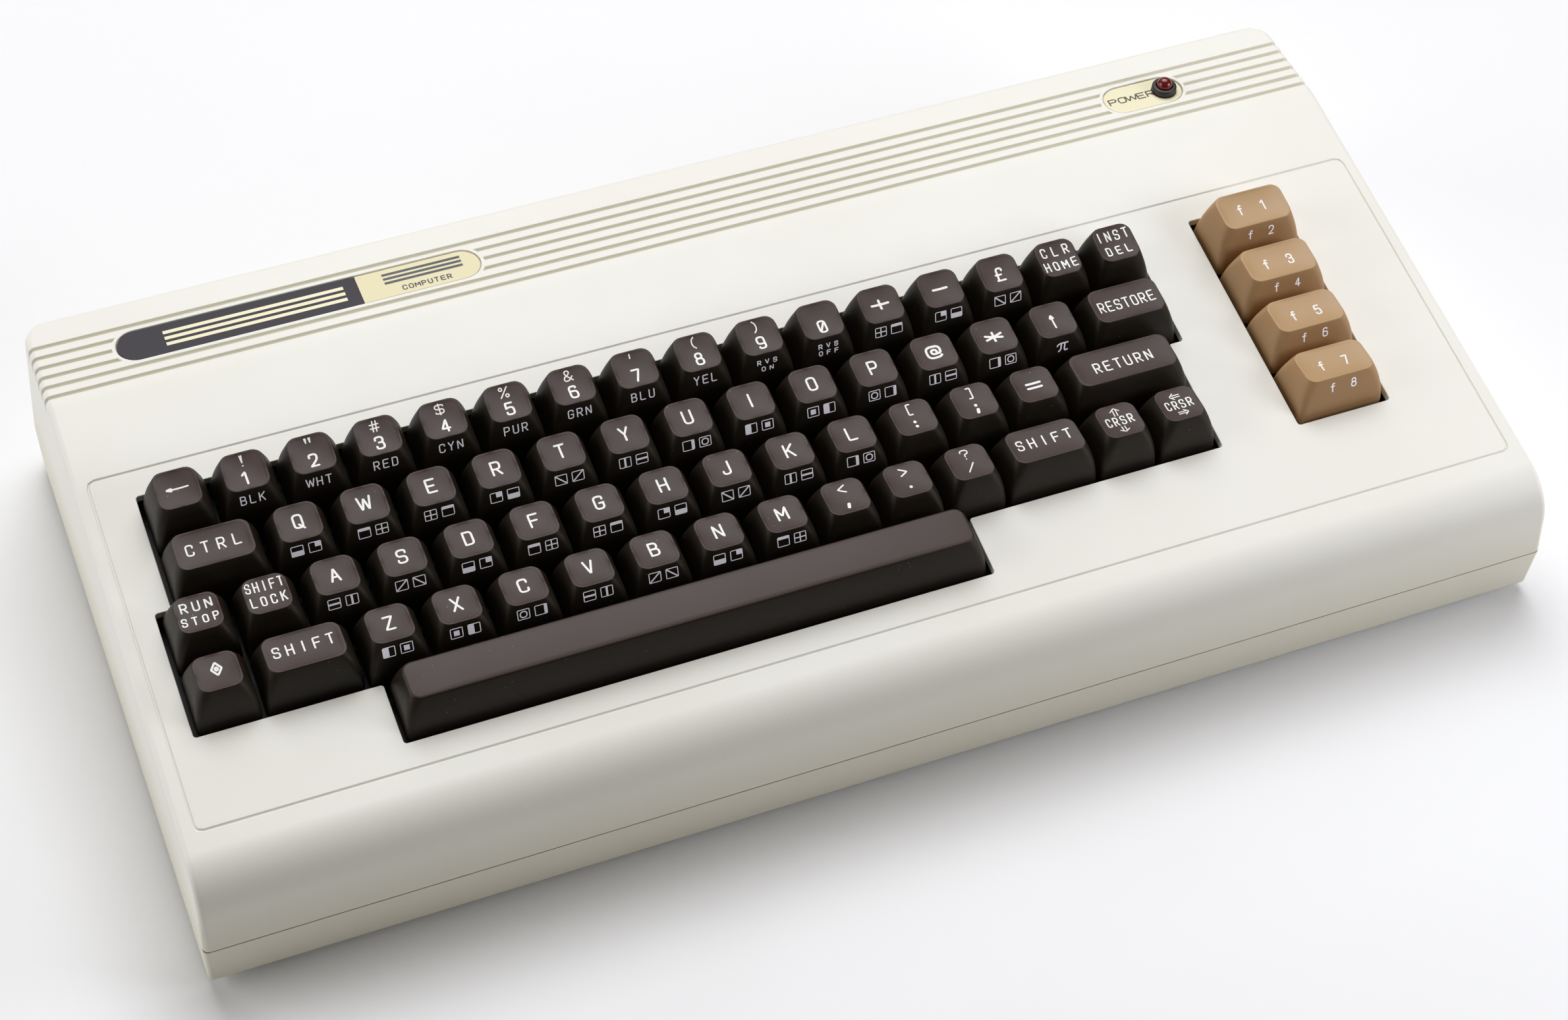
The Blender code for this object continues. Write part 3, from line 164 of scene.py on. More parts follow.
# Floor of a notch outwards of NOTCH_X and below the band, and what it leaves free, in millimetres
NOTCH_PROFILE = ((-0.1, -0.9), (0.3, -1.05), (0.6, -1.45), (0.8, -2.2), (0.9, -4.7), (-0.1, -4.7))
NOTCH_PLAY = 0.01

# Key caps in millimetres, with heights from the deck, widths in pitches and powers of the side curves
PITCH = 19.05
FUNCTION_WIDTH = 1.5
KEY_GAP = 1.0
SKIRT = -3.0
SIDE_INSET = 2.75
FRONT_INSET = 4.7
REAR_INSET = 0.8
SIDE_POWER = 2.36
END_POWER = 1.6
BASE_RADIUS = 1.2
TOP_RADIUS = 3.1
RIM_ROUNDS = (1.1, 0.42, 0.42, 0.42, 0.42)
RIM_START = radians(25)
TOPS = (9.92, 9.55, 9.55, 10.17, 12.4)
TILTS = tuple(tan(radians(angle)) for angle in (-4, -10, -7, -3, 2))
DISHES = (-0.25, 0.75, 0.75, 0.75, 0.75)
STEM_HALF = 3.0
STEM_FOOT = -11.8
STEM_OVERLAP = 0.5
TRAY_CUT = -8.5
TRAY_OVERLAP = 0.3
SPACE_STEMS = (-57.15, 0.0, 57.15)

# Rings up a cap's side, round its rim and into its top, and the ring where the top's lighter finish, painted
# light with some dust, starts
SIDE_RINGS = 9
RIM_RINGS = 5
TOP_SCALES = (0.93, 0.84, 0.74, 0.63, 0.51, 0.39, 0.27, 0.15, 0.05)
TOP_RING = 10

# Rows from the front: front and left edge in pitches, and the keys, with widths where they aren't 1
KEY_ROWS = (
    (-1, 2.5, "space:9"),
    (0, -0.25, "symbol shift_left:1.5 z x c v b n m comma period slash shift_right:1.5"
               " cursor_vertical cursor_horizontal"),
    (1, -0.25, "run_stop shift_lock a s d f g h j k l colon semicolon equals return:2"),
    (2, 0, "ctrl:1.5 q w e r t y u i o p at asterisk up_arrow restore:1.5"),
    (3, 0, "left_arrow 1 2 3 4 5 6 7 8 9 0 plus minus pound home delete"),
)
FUNCTION_KEYS = ("f7", "f5", "f3", "f1")


# Meshes

def placed(name, data):
    """A new object in the scene."""
    item = bpy.data.objects.new(name, data)
    bpy.context.scene.collection.objects.link(item)
    return item


class Stack:
    """Collects islands of vertices and faces, each with its material slot, into one mesh."""

    def __init__(self):
        self.points = []
        self.faces = []
        self.slots = []
        self.count = 0

    def add(self, points, blocks, slot=0):
        """Add points (N, 3) in metres and blocks of faces, each an array with one face a row. The slot is
        one number for all of them, or one for each block."""
        self.points.append(points)
        for block, own in zip(blocks, np.broadcast_to(slot, len(blocks)).tolist()):
            self.faces += (np.asarray(block) + self.count).tolist()
            self.slots += [own] * len(block)
        self.count += len(points)

    def make(self, name, materials, body="housing", angle=ROUND_ANGLE):
        """The finished object, smooth up to the angle, riding on its body."""
        mesh = bpy.data.meshes.new(name)
        mesh.from_pydata(np.concatenate(self.points).tolist(), [], self.faces)
        mesh.polygons.foreach_set("material_index", self.slots)
        for material in materials:
            mesh.materials.append(material)
        mesh.validate()
        mesh.shade_smooth()
        mesh.set_sharp_from_angle(angle=angle)
        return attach(placed(name, mesh), body)


def loop_quads(rings, around):
    """Faces between closed rings of points, each ring counted anticlockwise seen from its far end."""
    index = np.arange(rings * around).reshape(rings, around)
    after = np.roll(index, -1, axis=1)
    return np.stack((index[:-1], after[:-1], after[1:], index[1:]), -1).reshape(-1, 4)


def closed_blocks(rings, around):
    """Quads between the rings, and one face over each end."""
    index = np.arange(rings * around).reshape(rings, around)
    return [loop_quads(rings, around), index[:1, ::-1], index[-1:]]


def tilted(points, origin, angle):
    """Points (x, along, up) in millimetres on a plane turned about x, to metres:
    y = origin y + along cos - up sin, z = origin z + along sin + up cos."""
    x, along, up = (points * MM).T
    sine, cosine = sin(angle), cos(angle)
    return np.stack((x, origin[0] + along * cosine - up * sine, origin[1] + along * sine + up * cosine), 1)


def on_deck(points):
    """From the deck's own millimetres to metres."""
    return tilted(points, (DECK_Y, DECK_Z), DECK_TILT)


def on_band(points):
    """From the ribbed band's own millimetres to metres."""
    return tilted(points, (RIDGE_Y, RIDGE_Z), -BAND_FALL)


def box_points(low, high):
    """Eight corners of a box as two rings of four."""
    (a, b, c), (d, e, f) = low, high
    return np.array([(a, b, c), (d, b, c), (d, e, c), (a, e, c), (a, b, f), (d, b, f), (d, e, f), (a, e, f)],
                    float)


BOX_BLOCKS = closed_blocks(2, 4)


def spread(count, pitch):
    """Even places about 0."""
    return (np.arange(count) - (count - 1) / 2) * pitch


def turned_points(profile, steps=TURN_STEPS):
    """A profile of (radius, height) turned about z: each ring is radius cos, radius sin, height."""
    radius, height = np.array(profile, float).T[..., None]
    angle = np.arange(steps) * 2 * pi / steps
    return np.stack((radius * np.cos(angle), radius * np.sin(angle), height + 0 * angle), -1)


# Key caps

def ring_template(corner=5, straight=6):
    """Anchors and directions of a rounded rectangle: point = anchor * (half - r) + direction * r.
    On a corner the direction turns a quarter; on a side the anchor slides to the next corner."""
    corners = np.array(((1, 1), (-1, 1), (-1, -1), (1, -1)), float)
    anchors = []
    directions = []
    slide = np.linspace(0, 1, straight + 2)[1:-1, None]
    for quarter, here in enumerate(corners):
        angle = np.linspace(0, pi / 2, corner + 1) + quarter * pi / 2
        arc = np.stack((np.cos(angle), np.sin(angle)), 1)
        anchors += [np.repeat(here[None], corner + 1, 0), here + (corners[(quarter + 1) % 4] - here) * slide]
        directions += [arc, np.repeat(arc[-1:], straight, 0)]
    return np.concatenate(anchors), np.concatenate(directions)


ANCHORS, DIRECTIONS = ring_template()


def cap_shape(width, share):
    """Half sizes, shift and corner radius of a cap's outline at height share h: the side inset grows as h to
    SIDE_POWER, the front and rear insets as h to END_POWER, the radius as h."""
    ends = share ** END_POWER
    half_x = (width * PITCH - KEY_GAP) / 2 - SIDE_INSET * share ** SIDE_POWER
    half_y = (PITCH - KEY_GAP) / 2 - (FRONT_INSET + REAR_INSET) / 2 * ends
    shift = (FRONT_INSET - REAR_INSET) / 2 * ends
    return half_x, half_y, shift, BASE_RADIUS + (TOP_RADIUS - BASE_RADIUS) * share


def cap_outline(sizes, inset=0.0):
    """Points of a cap's outline, its corners pulled in by the inset."""
    half_x, half_y, shift, radius = sizes
    return ANCHORS * (np.array((half_x, half_y)) - radius) + DIRECTIONS * (radius - inset) + (0, shift)


def top_height(x, y, width, row):
    """Height of a cap's top at (x, y): rim + lean y - dish (1 - |x|^p)(1 - y^2), with x and y as shares of
    the half sizes and p growing with the cap's length."""
    half_x, half_y, middle, _ = cap_shape(width, 1.0)
    share_x = np.clip(np.abs(x) / half_x, 0, 1)
    share_y = np.clip((y - middle) / half_y, -1, 1)
    rise = TOPS[row] + TILTS[row] * (y - middle)
    return rise - DISHES[row] * (1 - share_x ** (2 * half_x / half_y)) * (1 - share_y ** 2)


def cap_rings(width, row):
    """Rings of a cap from its skirt up its curved sides, over its rounded rim and into its dished top."""
    rings = []
    rounding = RIM_ROUNDS[row]
    low_rim = TOPS[row] - rounding * (1 - sin(RIM_START))
    top = cap_shape(width, 1.0)
    shift = top[2]
    for share in np.linspace(0, 1, SIDE_RINGS):
        flat = cap_outline(cap_shape(width, share))
        lean = TILTS[row] * (flat[:, 1] - shift)
        rings.append((*flat.T, SKIRT + share * (low_rim + lean - SKIRT)))
    for angle in np.linspace(RIM_START, pi / 2, RIM_RINGS)[1:]:
        flat = cap_outline(top, rounding * (cos(RIM_START) - cos(angle)))
        height = TOPS[row] + TILTS[row] * (flat[:, 1] - shift) - rounding * (1 - sin(angle))
        rings.append((*flat.T, height))
    rim = flat - (0, shift)
    for scale in TOP_SCALES:
        flat = rim * scale + (0, shift)
        rings.append((*flat.T, top_height(*flat.T, width, row)))
    return np.array(rings).transpose(0, 2, 1)


def add_cap(stack, centre, width, row, foot):
    """One cap with its square stems, at its place on the deck."""
    rings = cap_rings(width, row)
    shift = np.array((*centre, 0.0))
    quads, bottom, top = closed_blocks(len(rings), len(ANCHORS))
    rim = TOP_RING * len(ANCHORS)
    stack.add(on_deck(rings.reshape(-1, 3) + shift), (quads[:rim], bottom, quads[rim:], top), (0, 0, 3, 3))
    for place in SPACE_STEMS if row == 0 else (0.0,):
        stem = box_points((place - STEM_HALF, -STEM_HALF, foot),
                          (place + STEM_HALF, STEM_HALF, SKIRT + STEM_OVERLAP))
        stack.add(on_deck(stem + shift), BOX_BLOCKS)


# Lettering

# Strokes on a grid four wide and seven tall. ~ rounds the corners, z closes the stroke.
FONT = {
    "A": "0,0 2,7 4,0|.75,2.3 3.25,2.3", "B": "0,0 0,7|~0,7 3.7,7 3.7,3.7 0,3.7|~0,3.7 4,3.7 4,0 0,0",
    "C": "~4,5.2 4,7 0,7 0,0 4,0 4,1.8", "D": "0,0 0,7|~0,7 4,7 4,0 0,0",
    "E": "4,7 0,7 0,0 4,0|0,3.6 3.4,3.6", "F": "4,7 0,7 0,0|0,3.6 3.4,3.6",
    "G": "~4,5.4 4,7 0,7 0,0 4,0 4,3.3|4.2,3.3 2.2,3.3", "H": "0,0 0,7|4,0 4,7|0,3.6 4,3.6", "I": "2,0 2,7",
    "J": "~0,1.8 0,0 3.4,0 3.4,7", "K": "0,0 0,7|4,7 .3,3.2|1.4,4.3 4,0", "L": "0,7 0,0 3.8,0",
    "M": "0,0 0,7 2.4,2.2 4.8,7 4.8,0", "N": "0,0 0,7 4,0 4,7", "O": "~0,0 0,7 4,7 4,0 z",
    "P": "0,0 0,7|~0,7 4,7 4,3.2 0,3.2", "Q": "~0,0 0,7 4,7 4,0 z|2.2,1.8 4.3,-.7",
    "R": "0,0 0,7|~0,7 4,7 4,3.2 0,3.2|2,3.2 4,0", "S": "~4,5.4 4,7 0,7 0,3.6 4,3.6 4,0 0,0 0,1.6",
    "T": "0,7 4,7|2,7 2,0", "U": "~0,7 0,0 4,0 4,7", "V": "0,7 2,0 4,7", "W": "0,7 1.4,0 3,6.4 4.6,0 6,7",
    "X": "0,0 4,7|0,7 4,0", "Y": "0,7 2,3.4 4,7|2,3.4 2,0", "Z": "0,7 4,7 0,0 4,0",
    "0": "~0,0 0,7 4,7 4,0 z|.3,.6 3.7,6.4", "1": "0,5.4 1.8,7 1.8,0",
    "2": "~0,5.2 0,7 4,7 4,3.9 0,0|0,0 4,0", "3": "~0,5.4 0,7 4,7 4,3.8 1.6,3.8|~1.6,3.8 4,3.8 4,0 0,0 0,1.6",
    "4": "4.2,1.8 0,1.8 3,7 3,0", "5": "3.8,7 .3,7 .1,3.9|~.1,3.9 1,4.4 4,4.4 4,0 0,0 0,1.5",
    "6": "~3.6,6 3.6,7 0,7 0,0 4,0 4,4.1 0,4.1", "7": "0,7 4,7 1.3,0",
    "8": "~.3,3.8 .3,7 3.7,7 3.7,3.8 z|~0,0 0,3.8 4,3.8 4,0 z", "9": "~.4,1 .4,0 4,0 4,7 0,7 0,2.9 4,2.9",
    "!": "1.6,7 2,2.4|2.4,7 2,2.4|1.9,.2 2.1,.2", "quote": ".7,7 1,4.2|1.3,7 1,4.2|2.7,7 3,4.2|3.3,7 3,4.2",
    "#": "1,0 1.6,7|2.6,0 3.2,7|0,2.2 4,2.2|0,4.8 4,4.8",
    "$": "~4,5.4 4,6.4 0,6.4 0,3.6 4,3.6 4,.6 0,.6 0,1.6|2,-.2 2,7.2",
    "%": "0,0 4,7|~0,7 1.5,7 1.5,4.9 0,4.9 z|~2.5,2.1 4,2.1 4,0 2.5,0 z",
    "&": "~4,0 .8,4.4 .8,7 2.9,7 2.9,4.6 0,2.8 0,0 2.2,0 4,2.8", "'": "2,7 1.8,4.4",
    "(": "~2.8,7.4 1.4,5.6 1.4,1.4 2.8,-.4", ")": "~1.2,7.4 2.6,5.6 2.6,1.4 1.2,-.4",
    "+": "2,1 2,6|-.4,3.5 4.4,3.5", "-": "0,3.5 4,3.5", "=": "0,4.9 4,4.9|0,2.1 4,2.1", "/": "0,0 4,7",
    "*": "2,.8 2,6.2|-.3,2.2 4.3,4.8|-.3,4.8 4.3,2.2", "[": "3.2,7 1,7 1,0 3.2,0", "]": ".8,7 3,7 3,0 .8,0",
    ":": "2,5.4 2,5.1|2,1.2 2,.9", ";": "2,5.4 2,5.1|2.1,1.3 1.1,-1.6", ",": "2.2,1.2 1.1,-1.8",
    ".": "2,.2 2,0", "<": "4,6.4 0,3.5 4,.6", ">": "0,6.4 4,3.5 0,.6",
    "?": "~.2,5.4 .2,7 3.8,7 3.8,4 2,4 2,2|2,.2 2,0",
    "@": "~3.9,1 3.4,0 0,0 0,7 4,7 4,2.4 2.9,2.4 2.9,5 1.4,5 1.4,2.4 2.9,2.4",
    "pound": "~3.8,5.6 3.8,7 1,7 1,3.4 .6,0|0,0 4,0|0,3.4 2.9,3.4",
    "pi": "~-.2,4.9 .5,6.6 4.6,6.6|~1.7,6.6 1.3,1.4 .3,.2|~3.3,6.6 2.7,0 4.2,.6",
    "f": "~3.4,6.6 3.2,7 1.6,7 1.6,0|.2,4.6 3.2,4.6",
    "left": "1.9,3.5 6.7,3.5|2.6,4.3 1.2,3.5 2.6,2.7 z|2.3,3.8 1.9,3.5 2.3,3.2 z",
    "up": "2,0 2,5.6|1,5.2 2,7 3,5.2 z|1.5,5.4 2,6.2 2.5,5.4 z",
    "cursor_up": "1.2,0 1.2,5.4|2.8,0 2.8,5.4|-.3,4.2 2,7 4.3,4.2",
    "cursor_down": "1.2,7 1.2,1.6|2.8,7 2.8,1.6|-.3,2.8 2,0 4.3,2.8",
    "cursor_left": "7,2.3 1.6,2.3|7,4.7 1.6,4.7|2.8,0 0,3.5 2.8,7",
    "cursor_right": "0,2.3 5.4,2.3|0,4.7 5.4,4.7|4.2,0 7,3.5 4.2,7",
    "symbol": "2,0 4.4,3.5 2,7 -.4,3.5 z|2,2.4 2.8,3.5 2,4.6 1.2,3.5 z",
}

# Height, width, pitch and stroke of each lettering size, in millimetres
SIZES = {
    "letter": (4.9, 3.0, 4.0, 0.62), "digit": (4.6, 2.7, 4.0, 0.62), "mark": (3.5, 2.8, 3.0, 0.38),
    "ctrl": (3.9, 2.3, 4.4, 0.48), "shift": (3.8, 2.2, 3.75, 0.48), "restore": (3.9, 2.0, 2.68, 0.44),
    "return": (3.9, 2.2, 3.3, 0.48), "run": (3.3, 2.1, 3.4, 0.46), "stop": (3.0, 1.7, 2.9, 0.44),
    "lock": (3.5, 1.7, 2.8, 0.44), "narrow": (3.4, 1.6, 2.3, 0.42), "home": (3.4, 1.8, 2.9, 0.45),
    "clear": (3.4, 1.8, 3.55, 0.45), "delete": (3.2, 1.8, 3.2, 0.45), "insert": (3.5, 1.8, 2.85, 0.45),
    "function": (3.8, 2.0, 3.0, 0.50), "wide": (4.8, 5.0, 5.0, 0.75), "tall": (5.2, 3.0, 4.0, 0.52),
    "arrow": (3.0, 2.7, 3.0, 0.32), "small_arrow": (2.5, 2.7, 3.0, 0.32), "bracket": (4.0, 2.4, 3.0, 0.45),
    "dots": (3.9, 2.4, 3.0, 0.95), "angle": (3.4, 2.6, 3.0, 0.45), "front": (3.0, 1.8, 2.65, 0.35),
    "reverse": (1.7, 1.3, 2.45, 0.30), "front_digit": (3.1, 1.8, 3.0, 0.38), "word": (2.8, 2.9, 3.25, 0.46),
    "plate": (2.1, 1.55, 1.95, 0.40), "side_arrow": (2.4, 2.1, 3.0, 0.32), "pi": (3.2, 3.3, 3.0, 0.45),
    "thin_wide": (4.8, 5.0, 5.0, 0.50),
}

# The grid's size, and the width of the characters that aren't four wide
GRID = (4.0, 7.0)
GRID_WIDTHS = {"W": 6.0, "M": 4.8, "left": 8.0, "cursor_left": 7.0, "cursor_right": 7.0}

# Corner radii, samples on a corner, steps along strokes and lines, and points of a round end and a patch
ROUND_SHARE = 0.34
SHARP_CORNER = 0.1
CORNER_SAMPLES = 8
STROKE_STEP = 0.3
LINE_STEP = 0.4
END_POINTS = 7
PATCH_POINTS = 6

# Least lengths to divide by, and the least step between points that counts, in millimetres
LEAST_SIDE = 1e-9
LEAST_TANGENT = 1e-12
LEAST_STEP = 1e-7

# Heights of the lettering over a top and a front, and of each stroke over the one before, in millimetres
TOP_LIFT = 0.02
FRONT_LIFT = 0.025
STROKE_LIFT = 0.002
FRONT_SAMPLES = 60


def glyph_strokes(name):
    """Each stroke of a character: its points on the grid, if its corners are round, if it closes."""
    for text in FONT[name].split("|"):
        points = np.array([pair.split(",") for pair in text.strip("~z ").split()], float)
        yield points, text.startswith("~"), text.endswith("z")


def softened(points, radius, closed):
    """Replace each corner by a quadratic arc that starts and ends the radius, or half a side, away."""
    ends = []
    for step in (1, -1):
        side = np.roll(points, step, axis=0) - points
        length = np.maximum(np.linalg.norm(side, axis=1, keepdims=True), LEAST_SIDE)
        ends.append((points + side / length * np.minimum(radius, length / 2))[:, None])
    share = np.linspace(0, 1, CORNER_SAMPLES)[None, :, None]
    arcs = (1 - share) ** 2 * ends[0] + share ** 2 * ends[1]
    arcs += 2 * share * (1 - share) * points[:, None]
    if not closed:
        arcs[0] = points[0]
        arcs[-1] = points[-1]
    path = arcs.reshape(-1, 2)
    return np.concatenate((path, path[:1])) if closed else path


def resampled(path, step):
    """Points at even steps along a path."""
    length = np.concatenate(([0.0], np.cumsum(np.linalg.norm(np.diff(path, axis=0), axis=1))))
    keep = np.concatenate(([True], np.diff(length) > LEAST_STEP))
    places = np.linspace(0, length[-1], max(2, int(round(length[-1] / step)) + 1))
    return np.stack([np.interp(places, length[keep], path[keep, axis]) for axis in (0, 1)], 1)


def ribbon(path, stroke, closed):
    """A flat band along a path: left and right of each point by half the stroke, with round ends."""
    tangent = np.gradient(path, axis=0)
    if closed:
        tangent[0] = tangent[-1] = path[1] - path[-2]
    tangent /= np.linalg.norm(tangent, axis=1, keepdims=True) + LEAST_TANGENT
    normal = np.stack((-tangent[:, 1], tangent[:, 0]), 1) * stroke / 2
    count = len(path)
    index = np.arange(count - 1)
    points = [path + normal, path - normal]
    blocks = [np.stack((index + count, index + count + 1, index + 1, index), 1)]
    if not closed:
        first = 2 * count
        for place, toward in ((path[0], -tangent[0]), (path[-1], tangent[-1])):
            angle = atan2(toward[1], toward[0]) + np.linspace(-pi / 2, pi / 2, END_POINTS)
            points.append(place + np.stack((np.cos(angle), np.sin(angle)), 1) * stroke / 2)
            blocks.append(np.arange(first, first + END_POINTS)[None])
            first += END_POINTS
    return np.concatenate(points), blocks


def word_shapes(text, size, place):
    """Flat shapes of a line of characters centred on a place, one entry a stroke. After a leading
    underscore the text is one character's name."""
    height, width, pitch, stroke = SIZES[size]
    scale = np.array((width - stroke, height - stroke)) / GRID
    names = [text[1:]] if text.startswith("_") else text
    shapes = []
    for name, shift in zip(names, spread(len(names), pitch)):
        middle = np.array((GRID_WIDTHS.get(name, GRID[0]), GRID[1])) / 2
        for points, rounded, closed in glyph_strokes(name):
            spot = (points - middle) * scale + place + (shift, 0)
            path = softened(spot, ROUND_SHARE * width if rounded else SHARP_CORNER, closed)
            shapes.append(ribbon(resampled(path, STROKE_STEP), stroke, closed))
    return shapes


def patch(low, high, centre):
    """A filled rectangle as a fine grid, so that it follows a curved face."""
    x, y = (np.linspace(low, high, PATCH_POINTS) + centre).T
    points = np.stack(np.meshgrid(x, y), -1).reshape(-1, 2)
    index = np.arange(len(points)).reshape(PATCH_POINTS, PATCH_POINTS)
    quads = np.stack((index[:-1, :-1], index[:-1, 1:], index[1:, 1:], index[1:, :-1]), -1).reshape(-1, 4)
    return points, [quads]


# Picture symbols on the fronts, in millimetres about the middle of their square, and their line widths
SQUARE = (1.7, 1.55)
BLOCKS = (
    ((-1.7, -1.55), (0, 1.55)), ((-1.7, -1.55), (1.7, 0)), ((-0.3, -1.55), (0.3, 1.55)),
    ((-1.7, -0.3), (1.7, 0.3)), ((0, 0), (1.7, 1.55)), ((-0.8, -0.8), (0.8, 0.8)),
    ((-1.7, 0.75), (1.7, 1.55)), ((0.9, -1.55), (1.7, 1.55)),
)
LINES = (((-1.6, -1.45), (1.6, 1.45)), ((-1.6, 1.45), (1.6, -1.45)))
CROSS = (((-1.6, 0), (1.6, 0)), ((0, -1.45), (0, 1.45)))
RING = 0.95
SQUARE_CORNER = 0.05
SQUARE_LINE = 0.25
SLANT_LINE = 0.4
CROSS_LINE = 0.35
SYMBOL_COUNT = 12


def rounded_square(half, centre, corner, step, line):
    """The outline of a rectangle with rounded corners, as a thin band."""
    corners = np.array(((-1, -1), (1, -1), (1, 1), (-1, 1)), float) * half + centre
    return ribbon(resampled(softened(corners, corner, True), step), line, True)


def symbol_shapes(kind, centre):
    """One of a few plain shapes inside a thin square: blocks, slanting lines, a ring or a cross."""
    shapes = [rounded_square(SQUARE, centre, SQUARE_CORNER, LINE_STEP, SQUARE_LINE)]
    if kind < len(BLOCKS):
        return shapes + [patch(*BLOCKS[kind], centre)]
    kind -= len(BLOCKS)
    if kind == len(LINES):
        return shapes + [rounded_square(RING, centre, RING, LINE_STEP / 2, CROSS_LINE)]
    arms, line = (LINES[kind:kind + 1], SLANT_LINE) if kind < len(LINES) else (CROSS, CROSS_LINE)
    return shapes + [ribbon(resampled(np.array(arm) + centre, LINE_STEP), line, False) for arm in arms]


def add_top_ink(stack, shapes, centre, width, row):
    """Lay flat shapes on a cap's dished top, measured from the top's middle, each stroke a hair higher."""
    middle = cap_shape(width, 1.0)[2]
    for order, (flat, blocks) in enumerate(shapes):
        flat = flat + (0, middle)
        height = top_height(*flat.T, width, row) + TOP_LIFT + STROKE_LIFT * order
        stack.add(on_deck(np.column_stack((flat + centre, height))), blocks, 1)


def add_front_ink(stack, shapes, centre, row):
    """Lay flat shapes on a cap's sloping front, their second measure the distance up from the rim's edge:
    the face is followed by its height share, found from the length along its curve."""
    share = np.linspace(0, 1, FRONT_SAMPLES)
    _, half_y, shift, _ = cap_shape(1, share)
    front = shift - half_y
    lean = TILTS[row] * (front - shift[-1])
    top = TOPS[row] - RIM_ROUNDS[row] * (1 - sin(RIM_START))
    rise = SKIRT + share * (top + lean - SKIRT)
    length = np.concatenate(([0.0], np.cumsum(np.hypot(np.diff(front), np.diff(rise)))))
    length -= length[-1]
    slope = np.gradient(np.stack((front, rise), 1), axis=0)
    slope /= np.linalg.norm(slope, axis=1, keepdims=True)
    for order, (flat, blocks) in enumerate(shapes):
        lift = FRONT_LIFT + STROKE_LIFT * order
        y = np.interp(flat[:, 1], length, front - slope[:, 1] * lift)
        z = np.interp(flat[:, 1], length, rise + slope[:, 0] * lift)
        points = np.stack((flat[:, 0] + centre[0], y + centre[1], z), 1)
        stack.add(on_deck(points), blocks, 2)


# Lettering as text, size, height and, where it isn't 0, shift to the right, its entries parted by |
TOP_LINES = {
    "left_arrow": "_left thin_wide 0.3", "plus": "+ wide 0.3", "minus": "- wide 0.3",
    "pound": "_pound letter -0.1", "at": "@ wide 0.2", "asterisk": "* wide 0", "up_arrow": "_up tall -0.2",
    "equals": "= wide 0", "colon": "[ bracket 3.2|: dots -2.1", "semicolon": "] bracket 3.2|; dots -2.1",
    "comma": "< angle 3.1|, dots -1.6", "period": "> angle 3.1|. dots -1.2",
    "slash": "? mark 3.2|/ mark -1.7", "home": "CLR clear 2.7|HOME home -2.4",
    "delete": "INST insert 2.9|DEL delete -2.4", "ctrl": "CTRL ctrl 0.3", "restore": "RESTORE restore -0.2",
    "run_stop": "RUN run 2.6|STOP stop -2.2", "shift_lock": "SHIFT narrow 3.2|LOCK lock -1.9",
    "return": "RETURN return -0.1", "symbol": "_symbol letter 1.2", "shift_left": "SHIFT shift 0.8",
    "shift_right": "SHIFT shift 0.8",
    "cursor_vertical": "_cursor_up arrow 3.5|CRSR narrow 0.1|_cursor_down small_arrow -3.3",
    "cursor_horizontal": "_cursor_left side_arrow 3.3|CRSR narrow 0.1|_cursor_right side_arrow -3.2",
    "space": "",
}
MARKS = dict(zip("123456789", ("!", "_quote", "#", "$", "%", "&", "'", "(", ")")))
MARK_LINE = "{} mark 3.5|"
DIGIT_LINE = "{} digit -2.0"
LETTER_LINE = "{} letter 0.5"
FUNCTION_LINE = "f function {0} -4.0|{1} function {0} 3.9"
FUNCTION_HEIGHTS = {"f1": 0.3, "f3": -0.2, "f5": -0.5, "f7": -0.4}
FRONT_LINES = {
    "9": "RVS reverse -2.5|ON reverse -4.8", "0": "RVS reverse -2.5|OFF reverse -4.8",
    "up_arrow": "_pi pi -3.5",
}
COLOUR_LINE = "{} front -2.95"
COLOUR_WORDS = dict(zip("12345678", "BLK WHT RED CYN PUR GRN BLU YEL".split()))
SECOND_LINE = "f front_digit -3.0 -3.6|{} front_digit -3.0 3.3"

# Keys with a pair of symbols, the symbols' places, and the multiple and shift that pick each from its order
PAIRED = [*"qwertyuiopasdfghjklzxcvbnm", "plus", "minus", "pound", "at", "asterisk"]
PAIRS = (((-2.5, -2.85), 5, 1), ((2.5, -2.85), 7, 4))


def entries_of(line):
    """Text, size and place of each entry in a line of lettering."""
    parts = [entry.split() for entry in line.split("|") if entry]
    return [(text, size, (float(*shift), float(height))) for text, size, height, *shift in parts]


def top_line(name):
    """The line of lettering on a key's top."""
    if name in FUNCTION_KEYS:
        return FUNCTION_LINE.format(FUNCTION_HEIGHTS[name], name[1])
    if name.isdigit():
        return (MARK_LINE.format(MARKS[name]) if name in MARKS else "") + DIGIT_LINE.format(name)
    return TOP_LINES.get(name, LETTER_LINE.format(name.upper()))


def front_shapes(name):
    """Shapes printed on a key's front, their heights below its rim."""
    line = FRONT_LINES.get(name, "")
    if name in COLOUR_WORDS:
        line = COLOUR_LINE.format(COLOUR_WORDS[name])
    if name in FUNCTION_KEYS:
        line = SECOND_LINE.format(int(name[1]) + 1)
    shapes = [shape for entry in entries_of(line) for shape in word_shapes(*entry)]
    if name in PAIRED:
        for place, multiple, shift in PAIRS:
            shapes += symbol_shapes((PAIRED.index(name) * multiple + shift) % SYMBOL_COUNT, np.array(place))
    return shapes


